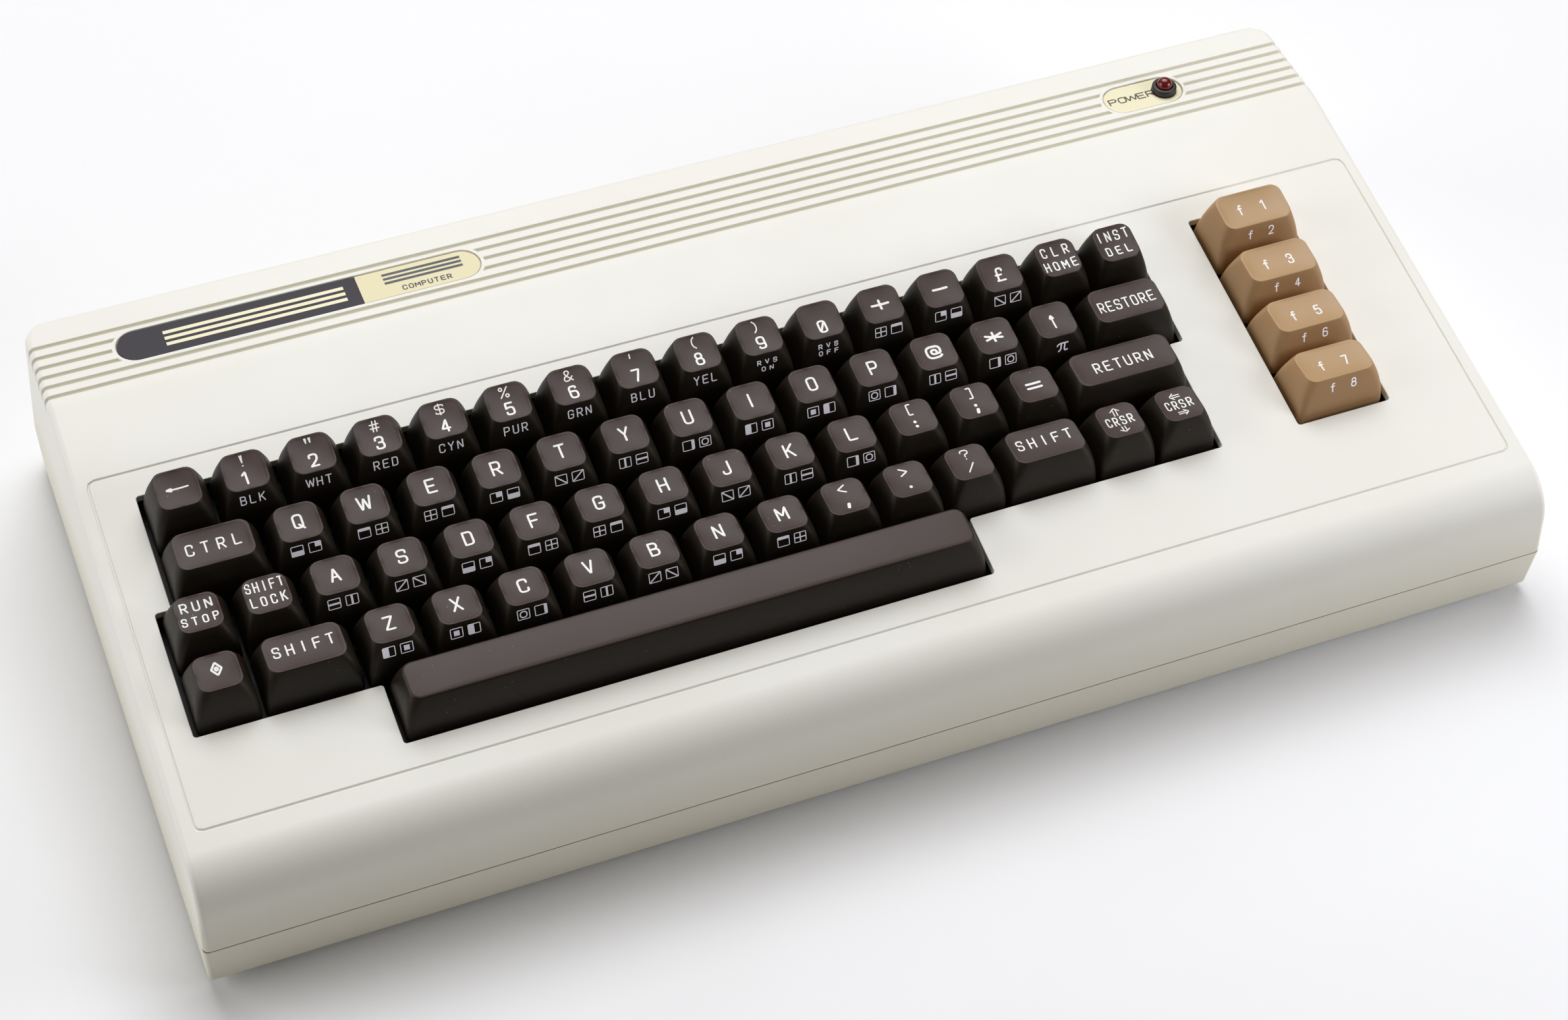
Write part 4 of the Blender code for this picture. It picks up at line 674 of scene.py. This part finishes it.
def key_places():
    """Name, width, row and cell middle in deck millimetres of every key."""
    for row, (front, left, text) in enumerate(KEY_ROWS):
        for entry in text.split():
            name, _, width = entry.partition(":")
            width = float(width or 1)
            x = KEYBOARD_LEFT / MM + (left + width / 2) * PITCH
            yield name, width, row, (x, (front + 0.5) * PITCH)
            left += width
    x = FUNCTION_LEFT / MM + FUNCTION_WIDTH / 2 * PITCH
    for row, name in enumerate(FUNCTION_KEYS):
        yield name, FUNCTION_WIDTH, row + 1, (x, (row + 0.5) * PITCH)


def add_key(stack, name, centre, width, row, foot):
    """One cap with the lettering of its top and its front."""
    add_cap(stack, centre, width, row, foot)
    for entry in entries_of(top_line(name)):
        add_top_ink(stack, word_shapes(*entry), centre, width, row)
    add_front_ink(stack, front_shapes(name), centre, row)


# Materials

# Colour of dust specks, roughness that patches add, and height of the grain in metres
DUST_COLOUR = (0.55, 0.53, 0.5)
WORN_ROUGHNESS = 0.12
GRAIN_HEIGHT = 0.00006


def node(tree, kind, feeds=None, **values):
    """A shader node with its settings and inputs set by name, and other nodes' outputs fed into it."""
    item = tree.nodes.new("ShaderNode" + kind)
    for name, value in values.items():
        key = name.replace("_", " ").title()
        if key in item.inputs:
            item.inputs[key].default_value = value
        else:
            setattr(item, name, value)
    for key, source in (feeds or {}).items():
        tree.links.new(source, item.inputs[key])
    return item


def mixed(tree, share, first, second):
    """Two colours mixed by the second one's share; each is another node's output or a plain colour."""
    item = node(tree, "Mix", data_type="RGBA")
    tree.links.new(share, item.inputs["Factor"])
    for key, value in (("A", first), ("B", second)):
        if isinstance(value, tuple):
            item.inputs[key].default_value = (*value, 1)
        else:
            tree.links.new(value, item.inputs[key])
    return item.outputs["Result"]


def ramp(tree, value, low, high):
    """How far a value is on its way from low to high, from 0 to 1."""
    return node(tree, "MapRange", {0: value}, from_min=low, from_max=high).outputs[0]


def times(tree, first, second):
    """The product of two values."""
    return node(tree, "Math", {0: first, 1: second}, operation="MULTIPLY").outputs[0]


def moulded_group():
    """Moulded plastic: a slow drift of tone, a little soil, a fine grain and a matching roughness."""
    tree = bpy.data.node_groups.new("Moulded plastic", "ShaderNodeTree")
    for way, kind, labels in (
            ("INPUT", "Vector", ("Place",)), ("INPUT", "Color", ("Colour", "Soil")),
            ("INPUT", "Float", ("Soil amount", "Roughness", "Grain scale", "Dust")),
            ("OUTPUT", "Color", ("Colour",)), ("OUTPUT", "Float", ("Roughness", "Height"))):
        for label in labels:
            tree.interface.new_socket(label, in_out=way, socket_type="NodeSocket" + kind)
    given = tree.nodes.new("NodeGroupInput").outputs
    end = tree.nodes.new("NodeGroupOutput")
    place = {"Vector": given["Place"]}
    drift = node(tree, "TexNoise", place, scale=9.0, detail=4.0, roughness=0.6)
    patches = ramp(tree, drift.outputs["Fac"], 0.42, 0.78)
    soil_and_shade = mixed(tree, times(tree, patches, given["Soil amount"]), given["Colour"], given["Soil"])
    specks = node(tree, "TexVoronoi", place, scale=420.0, randomness=1.0)
    sparse = node(tree, "TexNoise", place, scale=160.0, detail=1.0)
    chosen = ramp(tree, sparse.outputs["Fac"], 0.58, 0.64)
    flecks = times(tree, ramp(tree, specks.outputs["Distance"], 0.12, 0.05), chosen)
    grain = node(tree, "TexNoise", {**place, "Scale": given["Grain scale"]}, detail=2.0, roughness=0.55)
    worn = node(tree, "Math", {0: patches, 2: given["Roughness"]}, operation="MULTIPLY_ADD")
    worn.inputs[1].default_value = WORN_ROUGHNESS
    flecked = mixed(tree, times(tree, flecks, given["Dust"]), soil_and_shade, DUST_COLOUR)
    results = {"Colour": flecked, "Roughness": worn.outputs[0], "Height": grain.outputs["Fac"]}
    for name, source in results.items():
        tree.links.new(source, end.inputs[name])
    return tree


MOULDED = moulded_group()


def moulded(name, colour, roughness, soil=(0.45, 0.38, 0.26), dirt=0.1, grain=0.25, scale=2600.0,
            dust=0.0, coat=0.0, shine=0.5, painted_glow=0.0):
    """A moulded plastic with its own colour, the amount of its soil as dirt, its grain, and a painted glow in
    its own colour that stands in for light.
    """
    material = bpy.data.materials.new(name)
    material.use_nodes = True
    tree = material.node_tree
    shader = tree.nodes["Principled BSDF"]
    place = node(tree, "TexCoord")
    group = node(tree, "Group", {"Place": place.outputs["Object"]}, node_tree=MOULDED)
    bump = node(tree, "Bump", {"Height": group.outputs["Height"]}, strength=grain, distance=GRAIN_HEIGHT)
    link = tree.links.new
    link(group.outputs["Colour"], shader.inputs["Base Color"])
    link(group.outputs["Roughness"], shader.inputs["Roughness"])
    link(bump.outputs["Normal"], shader.inputs["Normal"])
    for item, key, value in (
            (group, "Colour", (*colour, 1)), (group, "Soil", (*soil, 1)), (group, "Soil amount", dirt),
            (group, "Roughness", roughness), (group, "Grain scale", scale), (group, "Dust", dust),
            (shader, "Specular IOR Level", shine), (shader, "Emission Color", (*colour, 1)),
            (shader, "Emission Strength", painted_glow), (shader, "Coat Weight", coat)):
        item.inputs[key].default_value = value
    return material


def two_toned(material, axis, span, first, second):
    """Turn the colour from the first to the second over a span of an axis of the object."""
    tree = material.node_tree
    split = node(tree, "SeparateXYZ", {0: tree.nodes["Texture Coordinate"].outputs["Object"]})
    colour = mixed(tree, ramp(tree, split.outputs[axis], *span), first, second)
    tree.links.new(colour, tree.nodes["Group"].inputs["Colour"])


def metal(name, colour, roughness):
    """Plated metal with a faint cloud in its roughness."""
    material = moulded(name, colour, roughness, soil=(0.3, 0.28, 0.25), dirt=0.25, grain=0.05, scale=900.0)
    material.node_tree.nodes["Principled BSDF"].inputs["Metallic"].default_value = 1.0
    return material


# The two-toned materials' colours, and where they turn: heights on the ivory, over which it turns darker and
# yellower towards the bottom as painted shade; a sharp line on the badge
IVORY_TOP = (0.86, 0.845, 0.79)
IVORY_PAINTED_SHADE = (0.75, 0.725, 0.62)
IVORY_SHADE_HEIGHTS = (0.040, 0.018)
BADGE_DARK = (0.057, 0.053, 0.063)
BADGE_LIGHT = (0.84, 0.77, 0.52)
BADGE_TURN = (-0.1057, -0.105699)

IVORY = moulded("ivory_plastic", IVORY_TOP, 0.47, soil=(0.66, 0.60, 0.46), grain=0.3)
# Painted shade: the ivory darkens and yellows from its top colour towards the bottom of the housing
two_toned(IVORY, "Z", IVORY_SHADE_HEIGHTS, IVORY_TOP, IVORY_PAINTED_SHADE)
CHARCOAL = moulded("badge_charcoal", BADGE_DARK, 0.33, dirt=0.0, grain=0.04, shine=0.08)
two_toned(CHARCOAL, "X", BADGE_TURN, BADGE_DARK, BADGE_LIGHT)
# Painted shade and light: the caps' sides are a darker copy and their tops a lighter copy of the same
# plastic, the tops with some dust
BROWN = moulded("dark_brown_plastic", (0.016, 0.011, 0.007), 0.40, soil=(0.03, 0.025, 0.02), dirt=0.3,
                dust=0.12, shine=0.25)
BROWN_LIT_TOP = moulded("dark_brown_painted_lit_top", (0.053, 0.034, 0.030), 0.42, soil=(0.085, 0.062, 0.056), dirt=0.35,
                    grain=0.45, dust=0.25, shine=0.25)
# Painted shade and light as on the brown caps: darker sides, lighter tops
TAN = moulded("tan_plastic", (0.42, 0.25, 0.12), 0.42, soil=(0.38, 0.23, 0.11), dirt=0.25,
              dust=0.08, shine=0.3)
TAN_LIT_TOP = moulded("tan_painted_lit_top", (0.45, 0.28, 0.135), 0.42, soil=(0.40, 0.26, 0.13), dirt=0.25, grain=0.45,
                  dust=0.12)
BLACK = moulded("black_plastic", (0.018, 0.017, 0.017), 0.45, dirt=0.02, grain=0.2)
# Painted shade: a darker, warmer ivory on the floors of the grooves and their notches
GROOVE_SHADE = moulded("ivory_painted_groove_shade", (0.77, 0.745, 0.625), 0.5, grain=0.3)
# Painted shade, with some soil, for the faces in and near the seam between the shells
SEAM_SHADE_AND_SOIL = moulded("seam_shade_and_soil", (0.42, 0.36, 0.23), 0.8, grain=0.2)
LAMINATE = moulded("board_laminate", (0.04, 0.17, 0.08), 0.45, soil=(0.10, 0.12, 0.05), dirt=0.3, grain=0.3,
                   scale=1400.0)
CREAM = moulded("label_cream", (0.86, 0.80, 0.56), 0.35, dirt=0.03, grain=0.04)
RED = moulded("lamp_red", (0.15, 0.007, 0.010), 0.22, dirt=0.0, grain=0.0, coat=0.3)
STEEL = metal("plated_steel", (0.58, 0.57, 0.54), 0.34)
GOLD = metal("contact_gold", (0.80, 0.56, 0.22), 0.28)
RUBBER = moulded("rubber", (0.025, 0.025, 0.025), 0.85, grain=0.6, scale=1500.0)
INK = moulded("key_lettering", (0.88, 0.86, 0.84), 0.40, dirt=0.03, grain=0.15)
# Painted light: the front and function lettering glow a little, so that they stay bright where they face away
# from the lights
FRONT_INK = moulded("front_lettering", (0.90, 0.89, 1.0), 0.45, dirt=0.05, grain=0.15, painted_glow=0.18)
TAN_INK = moulded("function_lettering", (0.90, 0.90, 1.0), 0.45, dirt=0.05, grain=0.15, painted_glow=0.24)
LABEL_PRINT = moulded("label_printing", (0.080, 0.072, 0.048), 0.5, dirt=0.0, grain=0.1)
PRINT = moulded("plate_print", (0.045, 0.045, 0.055), 0.38, dirt=0.0, grain=0.05)

# Finishes of a cap's sides, its lettering on the top and on the front, and its top, the top a lighter copy of
# the plastic as painted light with some dust
BROWN_CAP = (BROWN, INK, FRONT_INK, BROWN_LIT_TOP)
TAN_CAP = (TAN, INK, TAN_INK, TAN_LIT_TOP)


# Pieces

def copy_of(name, cut=None):
    """A merged copy of a CAD node's mesh with flat triangles joined. A cut is the point and direction of a
    plane, and what lies above it goes."""
    bm = bmesh.new()
    bm.from_mesh(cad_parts[name].data)
    bmesh.ops.remove_doubles(bm, verts=bm.verts, dist=MERGE)
    if cut is not None:
        parts = bm.verts[:] + bm.edges[:] + bm.faces[:]
        bmesh.ops.bisect_plane(bm, geom=parts, plane_co=cut[0], plane_no=cut[1], clear_outer=True,
                               dist=CUT_MERGE)
        edges = [edge for edge in bm.edges if edge.is_boundary]
        bmesh.ops.holes_fill(bm, edges=edges, sides=0)
    bmesh.ops.dissolve_limit(bm, angle_limit=FLAT_ANGLE, verts=bm.verts, edges=bm.edges)
    bmesh.ops.remove_doubles(bm, verts=bm.verts, dist=SLIVER)
    bmesh.ops.recalc_face_normals(bm, faces=bm.faces)
    mesh = bpy.data.meshes.new(name + "_look")
    bm.to_mesh(mesh)
    bm.free()
    return mesh


def shell_piece(name, label, material, bevel, cut=None):
    """A CAD node's copy with its edges softened, shown in the node's place."""
    mesh = copy_of(name, cut)
    mesh.materials.append(material)
    mesh.shade_smooth()
    mesh.set_sharp_from_angle(angle=EDGE_ANGLE)
    piece = placed(label, mesh)
    soft = piece.modifiers.new("soft_edges", "BEVEL")
    soft.width = bevel
    soft.segments = BEVEL_SEGMENTS
    soft.limit_method = "ANGLE"
    soft.angle_limit = EDGE_ANGLE
    soft.use_clamp_overlap = False
    soft.loop_slide = False
    flat = piece.modifiers.new("flat_faces", "WEIGHTED_NORMAL")
    flat.weight = NORMAL_WEIGHT
    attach(piece, "housing")
    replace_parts(piece, name)
    return piece


def make_keys():
    """Every cap with its lettering: the moving ones on their own bodies, the others on the key frame."""
    fixed = Stack()
    for name, width, row, centre in key_places():
        body = "key_" + name
        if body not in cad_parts:
            add_key(fixed, name, centre, width, row, TRAY_CUT - TRAY_OVERLAP)
            continue
        stack = Stack()
        add_key(stack, name, centre, width, row, STEM_FOOT)
        finish = TAN_CAP if name in FUNCTION_KEYS else BROWN_CAP
        piece = stack.make("cap_" + name, finish, body, CAP_ANGLE)
        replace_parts(piece, body)
    fixed.make("caps_on_frame", BROWN_CAP, angle=CAP_ANGLE)
    point = on_deck(np.array([[0, 0, TRAY_CUT]]))[0]
    direction = (0, -sin(DECK_TILT), cos(DECK_TILT))
    shell_piece("keyboard_frame", "key_tray", BLACK, TRAY_EDGE, cut=(point, direction))


def flat_print(stack, shapes, slot=0):
    """Print flat shapes on the band's plates, each stroke a hair higher."""
    for order, (flat, blocks) in enumerate(shapes):
        up = np.full(len(flat), PLATE_TOP + PRINT_LIFT + STROKE_LIFT * order)
        stack.add(on_band(np.column_stack((flat, up))), blocks, slot)


def make_plates():
    """Badge and lamp label with plain printing, and the lamp in its holder."""
    shell_piece("badge_plate", "badge", CHARCOAL, PLATE_EDGE)
    shell_piece("power_label_plate", "lamp_label", CREAM, PLATE_EDGE)
    dark = Stack()
    flat_print(dark, word_shapes("COMPUTER", "plate", (LIGHT_END_X, PLATE_ROW - WORD_DROP)))
    for rise in BAR_RISES:
        flat_print(dark, [patch(*BAR, (LIGHT_END_X, PLATE_ROW + rise))])
    flat_print(dark, word_shapes("POWER", "word", (POWER_X, PLATE_ROW)), 1)
    dark.make("plate_printing", (PRINT, LABEL_PRINT))
    light = Stack()
    for step in (-1, 0, 1):
        flat_print(light, [patch(*STRIPE, (DARK_END_X, PLATE_ROW + STRIPE_STEP * step))])
    light.make("badge_stripes", (CREAM,))
    angle = np.linspace(0, pi / 2, DOME_STEPS)[:-1]
    dome = zip(DOME_RADIUS * np.cos(angle), DOME_FOOT + DOME_RISE * np.sin(angle))
    collar = turned_points(COLLAR)
    lamp = turned_points((*LAMP_FOOT, *dome, DOME_TIP))
    for rings, blocks, label, material, holder in (
            (collar, [loop_quads(len(collar), TURN_STEPS)[:, ::-1]], "lamp_collar", BLACK, "lamp_holder"),
            (lamp, closed_blocks(len(lamp), TURN_STEPS), "lamp_dome", RED, "power_lamp")):
        stack = Stack()
        stack.add(on_band(rings.reshape(-1, 3) + (LAMP_X, PLATE_ROW, 0.0)), blocks)
        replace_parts(stack.make(label, (material,)), holder)


def read_rows(items, name):
    """A property of three numbers of every item, one row each."""
    values = np.empty(len(items) * 3)
    items.foreach_get(name, values)
    return values.reshape(-1, 3)


def soften_grooves(mesh):
    """Make the band's grooves shallower: a floor's height becomes height * shown / cut depth. Returns which
    vertices belong to the floors, those that lie deeper than a quarter of the cut."""
    place = read_rows(mesh.vertices, "co")
    along = np.array((0.0, cos(BAND_FALL), -sin(BAND_FALL)))
    normal = np.array((0.0, sin(BAND_FALL), cos(BAND_FALL)))
    from_ridge = place - (0.0, RIDGE_Y, RIDGE_Z)
    height = from_ridge @ normal
    middles = GROOVE_START + GROOVE_PITCH * np.arange(GROOVE_COUNT)
    low = np.abs((from_ridge @ along)[:, None] - middles).min(1) < GROOVE_WIDTH / 2 + CLOSE
    low &= (height > -GROOVE_DEPTH - CLOSE) & (height < -GROOVE_DEPTH / 4)
    low &= np.abs(place[:, 0]) < NOTCH_X + CLOSE
    place[low] -= np.outer(height[low] * (1 - GROOVE_SHOWN / GROOVE_DEPTH), normal)
    mesh.vertices.foreach_set("co", place.ravel())
    mesh.update()
    return low


def raise_rim(mesh):
    """Lift the lower shell's rim into the seam, so that the seam shows as a fine line."""
    place = read_rows(mesh.vertices, "co")
    place[np.abs(place[:, 2] - (SEAM_HEIGHT - SEAM_GAP)) < RIM_CLOSE, 2] = SEAM_HEIGHT - SEAM_SHOWN
    mesh.vertices.foreach_set("co", place.ravel())
    mesh.update()


def make_groove_ends():
    """Floors of the notches in which the grooves run over the case's sides: a profile that follows the
    rounded side a little inside it, carried across the groove's width."""
    profile = np.array(NOTCH_PROFILE)
    ends = Stack()
    for row in range(GROOVE_COUNT):
        middle = (GROOVE_START + GROOVE_PITCH * row) / MM
        half = GROOVE_WIDTH / MM / 2 - NOTCH_PLAY
        for side in (-1, 1):
            ring = profile[::side]
            across = side * (ring[:, 0] + NOTCH_X / MM)
            rings = [np.stack((across, np.full(len(ring), place), ring[:, 1]), 1)
                     for place in (middle - half, middle + half)]
            ends.add(on_band(np.concatenate(rings)), closed_blocks(2, len(ring)))
    ends.make("groove_ends", (GROOVE_SHADE,))


def make_shells():
    """Both halves of the housing, with softened edges, painted shade on the grooves' floors, and painted
    shade with some soil in the seam.
    """
    upper = shell_piece("upper_case", "upper_shell", IVORY, SHELL_EDGE).data
    lower = shell_piece("lower_case", "lower_shell", IVORY, SHELL_EDGE).data
    floors = soften_grooves(upper)
    raise_rim(lower)
    for mesh in (upper, lower):
        mesh.materials.append(SEAM_SHADE_AND_SOIL)
        mesh.materials.append(GROOVE_SHADE)
        # Faces in and near the seam take the painted seam shade
        from_seam = np.abs(read_rows(mesh.polygons, "center")[:, 2] - (SEAM_HEIGHT - SEAM_SHOWN / 2))
        level = np.abs(read_rows(mesh.polygons, "normal")[:, 2]) > LEVEL
        soil_and_shade = (from_seam < SEAM_NEAR) & level
        if mesh is lower:
            soil_and_shade |= (from_seam < SEAM_REACH) & ~level
        slots = soil_and_shade.astype(np.int32)
        # The grooves' floors take the painted groove shade
        if mesh is upper:
            slots[[floors[list(polygon.vertices)].any() for polygon in mesh.polygons]] = 2
        mesh.polygons.foreach_set("material_index", slots)


def quarter_turned(points):
    """Points turned a quarter back about z, so that +y becomes +x."""
    return np.stack((points[:, 1], -points[:, 0], points[:, 2]), 1)


def lying_points(profile, sides):
    """A turned profile laid down, its axis along +y."""
    rings = turned_points(profile, sides)
    return np.stack((rings[..., 0], rings[..., 2], -rings[..., 1]), -1).reshape(-1, 3)


def add_pins(stack, centre, places, size, turn):
    """Round ended pins that stand out along +y, or along +x with a quarter turn back: the last half radius
    narrows to .7 of the radius, then to a tip."""
    radius, reach = size
    profile = [(radius * wide, reach - radius * back) for wide, back in PIN_END]
    profile = [(radius, 0.0)] + profile + [(PIN_TIP, reach)]
    flat = lying_points(profile, PIN_SIDES)
    for x, z in places:
        spot = flat + (x, 0.0, z)
        spot = quarter_turned(spot) if turn else spot
        stack.add(spot * MM + centre, closed_blocks(len(profile), PIN_SIDES))


def add_tube(stack, centre, size, turn):
    """A thin ring with a hollow middle, its axis along +y, or along +x with a quarter turn back."""
    inner, outer, low, high = size
    flat = lying_points(((inner, low), (inner, high), (outer, high), (outer, low)), TUBE_SIDES)
    index = np.arange(TUBE_SIDES)
    after = np.roll(index, -1)
    join = np.stack((index, after, after + 3 * TUBE_SIDES, index + 3 * TUBE_SIDES), 1)
    blocks = [loop_quads(4, TUBE_SIDES)[:, ::-1], join]
    stack.add((quarter_turned(flat) if turn else flat) * MM + centre, blocks)


def arc_places(count):
    """Places of a round socket's holes: an even fan open at the bottom."""
    angle = np.radians(90 + np.linspace(-FAN_SPREAD, FAN_SPREAD, count))
    return FAN_RADIUS * np.stack((np.cos(angle), np.sin(angle)), 1)


def make_contacts():
    """What shows inside the ports: socket shields and holes, control port pins, and gilt contacts."""
    steel = Stack()
    holes = Stack()
    for x, y, turn, count in SOCKETS:
        centre = np.array((x, y, SOCKET_Z))
        add_tube(steel, centre, SHIELD, turn)
        for across, up in arc_places(count):
            shift = (0.0, -across, up) if turn else (across, 0.0, up)
            middle = centre + np.array(shift) * MM
            add_tube(steel, middle, EYELET, turn)
            add_pins(holes, middle, ((0.0, 0.0),), HOLE, turn)
    middle = np.array((PORT_X, PORT_Y, PORT_Z))
    pins = [(x, z) for count, z in ((5, PIN_ROW), (4, -PIN_ROW)) for x in spread(count, PIN_PITCH)]
    add_pins(steel, middle, pins, PIN, 1)
    steel.make("port_metal", (STEEL,))
    holes.add(quarter_turned(box_points(*PORT_BLOCK)) * MM + middle, BOX_BLOCKS)
    holes.make("port_insulation", (BLACK,))
    board = BOARD_TOP / MM
    below = board - BOARD_THICKNESS
    fingers = (FINGER_HALF, TAB_Y, FINGER_SPAN, ((board, board + GILT), (below - GILT, below)))
    sides = [sorted(CONNECTOR_Z / MM + side * gap for gap in SPRING_GAPS) for side in (-1, 1)]
    springs = (SPRING_HALF, CONNECTOR_Y, SPRING_SPAN, sides)
    gilt = Stack()
    for places, (half, end, (start, stop), levels) in ((FINGERS, fingers), (SPRINGS, springs)):
        for centre, count in places:
            for x in centre / MM + spread(count, CONTACT_PITCH):
                for low, high in levels:
                    box = box_points((x - half, end / MM + start, low), (x + half, end / MM + stop, high))
                    gilt.add(box * MM, BOX_BLOCKS)
    gilt.make("gilt_contacts", (GOLD,))


def finish_nodes():
    """Give every CAD node that is still shown its own finish."""
    finishes = {"keyboard_board": LAMINATE, "main_board": LAMINATE, "control_port": STEEL}
    for name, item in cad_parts.items():
        material = RUBBER if name.startswith("foot_") else finishes.get(name, BLACK)
        item.data.materials.clear()
        item.data.materials.append(material)


# The record's slot listed for each new piece
SLOTS = {
    "ivory_plastic": ("upper_shell", "lower_shell", "groove_ends"),
    "label_cream": ("lamp_label", "badge_stripes"),
    "badge_charcoal": ("badge", "plate_printing"),
    "black_plastic": ("key_tray", "lamp_collar", "port_insulation"),
    "plated_steel": ("port_metal",),
    "lamp_red": ("lamp_dome",),
}


def name_slots():
    """Goes through the listed slots and their pieces; names no slot."""
    for slot, names in SLOTS.items():
        for name in names:
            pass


# Floor, light and camera

# The fitted camera: focal length and sensor in millimetres, place in metres and angles in degrees
CAMERA_LENS = 71.986
CAMERA_SENSOR = 36
CAMERA_PLACE = (-0.24719, -0.56561, 0.73098)
CAMERA_ANGLES = (40.3586, -1.9579, -21.4854)
FLOOR_SIZE = 8
FLOOR_COLOUR = (0.90, 0.90, 0.92)

# Colours of the sky and the background, and each light's name, place, size, power and colour
SKY = (0.039, 0.029, 0.004)
BACKGROUND = (0.93, 0.93, 0.95)
LIGHTS = (
    ("ceiling_panel", (0.30, 0.62, 1.50), (1.5, 1.15), 18.4, (1.0, 0.965, 0.965)),
    ("rear_panel", (0.05, 1.15, 1.20), (1.2, 1.0), 5.5, (1.0, 0.97, 1.0)),
    ("high_panel", (0.30, 0.95, 1.60), (1.2, 0.9), 3.8, (0.7, 1.0, 1.1)),
    ("left_panel", (-1.35, 0.25, 0.55), (1.2, 0.8), 8.9, (0.99, 1.0, 1.01)),
    ("front_panel", (0.62, -0.40, 0.36), (0.4, 0.3), 2.05, (0.92, 0.98, 1.10)),
    ("low_panel", (0.95, -0.55, 0.25), (0.5, 0.3), 0.75, (1.0, 0.66, 0.20)),
)


def make_stage():
    """A pale floor, soft panels of light, and a background that only the camera sees."""
    bpy.ops.mesh.primitive_plane_add(size=FLOOR_SIZE)
    floor = bpy.context.object
    floor.name = "floor"
    floor.data.materials.append(moulded("floor_white", FLOOR_COLOUR, 0.5, dirt=0.0, grain=0.0))
    world = bpy.data.worlds.new("sky")
    bpy.context.scene.world = world
    world.use_nodes = True
    tree = world.node_tree
    ray = node(tree, "LightPath")
    sky = mixed(tree, ray.outputs["Is Camera Ray"], SKY, BACKGROUND)
    tree.links.new(sky, tree.nodes["Background"].inputs["Color"])
    for light in LIGHTS:
        add_light(*light)


def add_light(name, place, size, power, colour):
    """A soft rectangular light aimed at the keyboard."""
    light = bpy.data.lights.new(name, "AREA")
    light.shape = "RECTANGLE"
    light.size, light.size_y = size
    light.energy = power
    light.color = colour
    item = placed(name, light)
    item.location = place
    item.rotation_euler = (-item.location).to_track_quat("-Z", "Y").to_euler()
    item.visible_camera = False


def make_camera():
    """The photo's camera."""
    data = bpy.data.cameras.new("camera")
    data.lens = CAMERA_LENS
    data.sensor_width = CAMERA_SENSOR
    item = placed("camera", data)
    item.location = CAMERA_PLACE
    item.rotation_euler = [radians(angle) for angle in CAMERA_ANGLES]
    bpy.context.scene.camera = item


make_shells()
make_groove_ends()
make_keys()
make_plates()
make_contacts()
finish_nodes()
name_slots()
make_stage()
make_camera()
bpy.context.scene.view_settings.view_transform = "Standard"
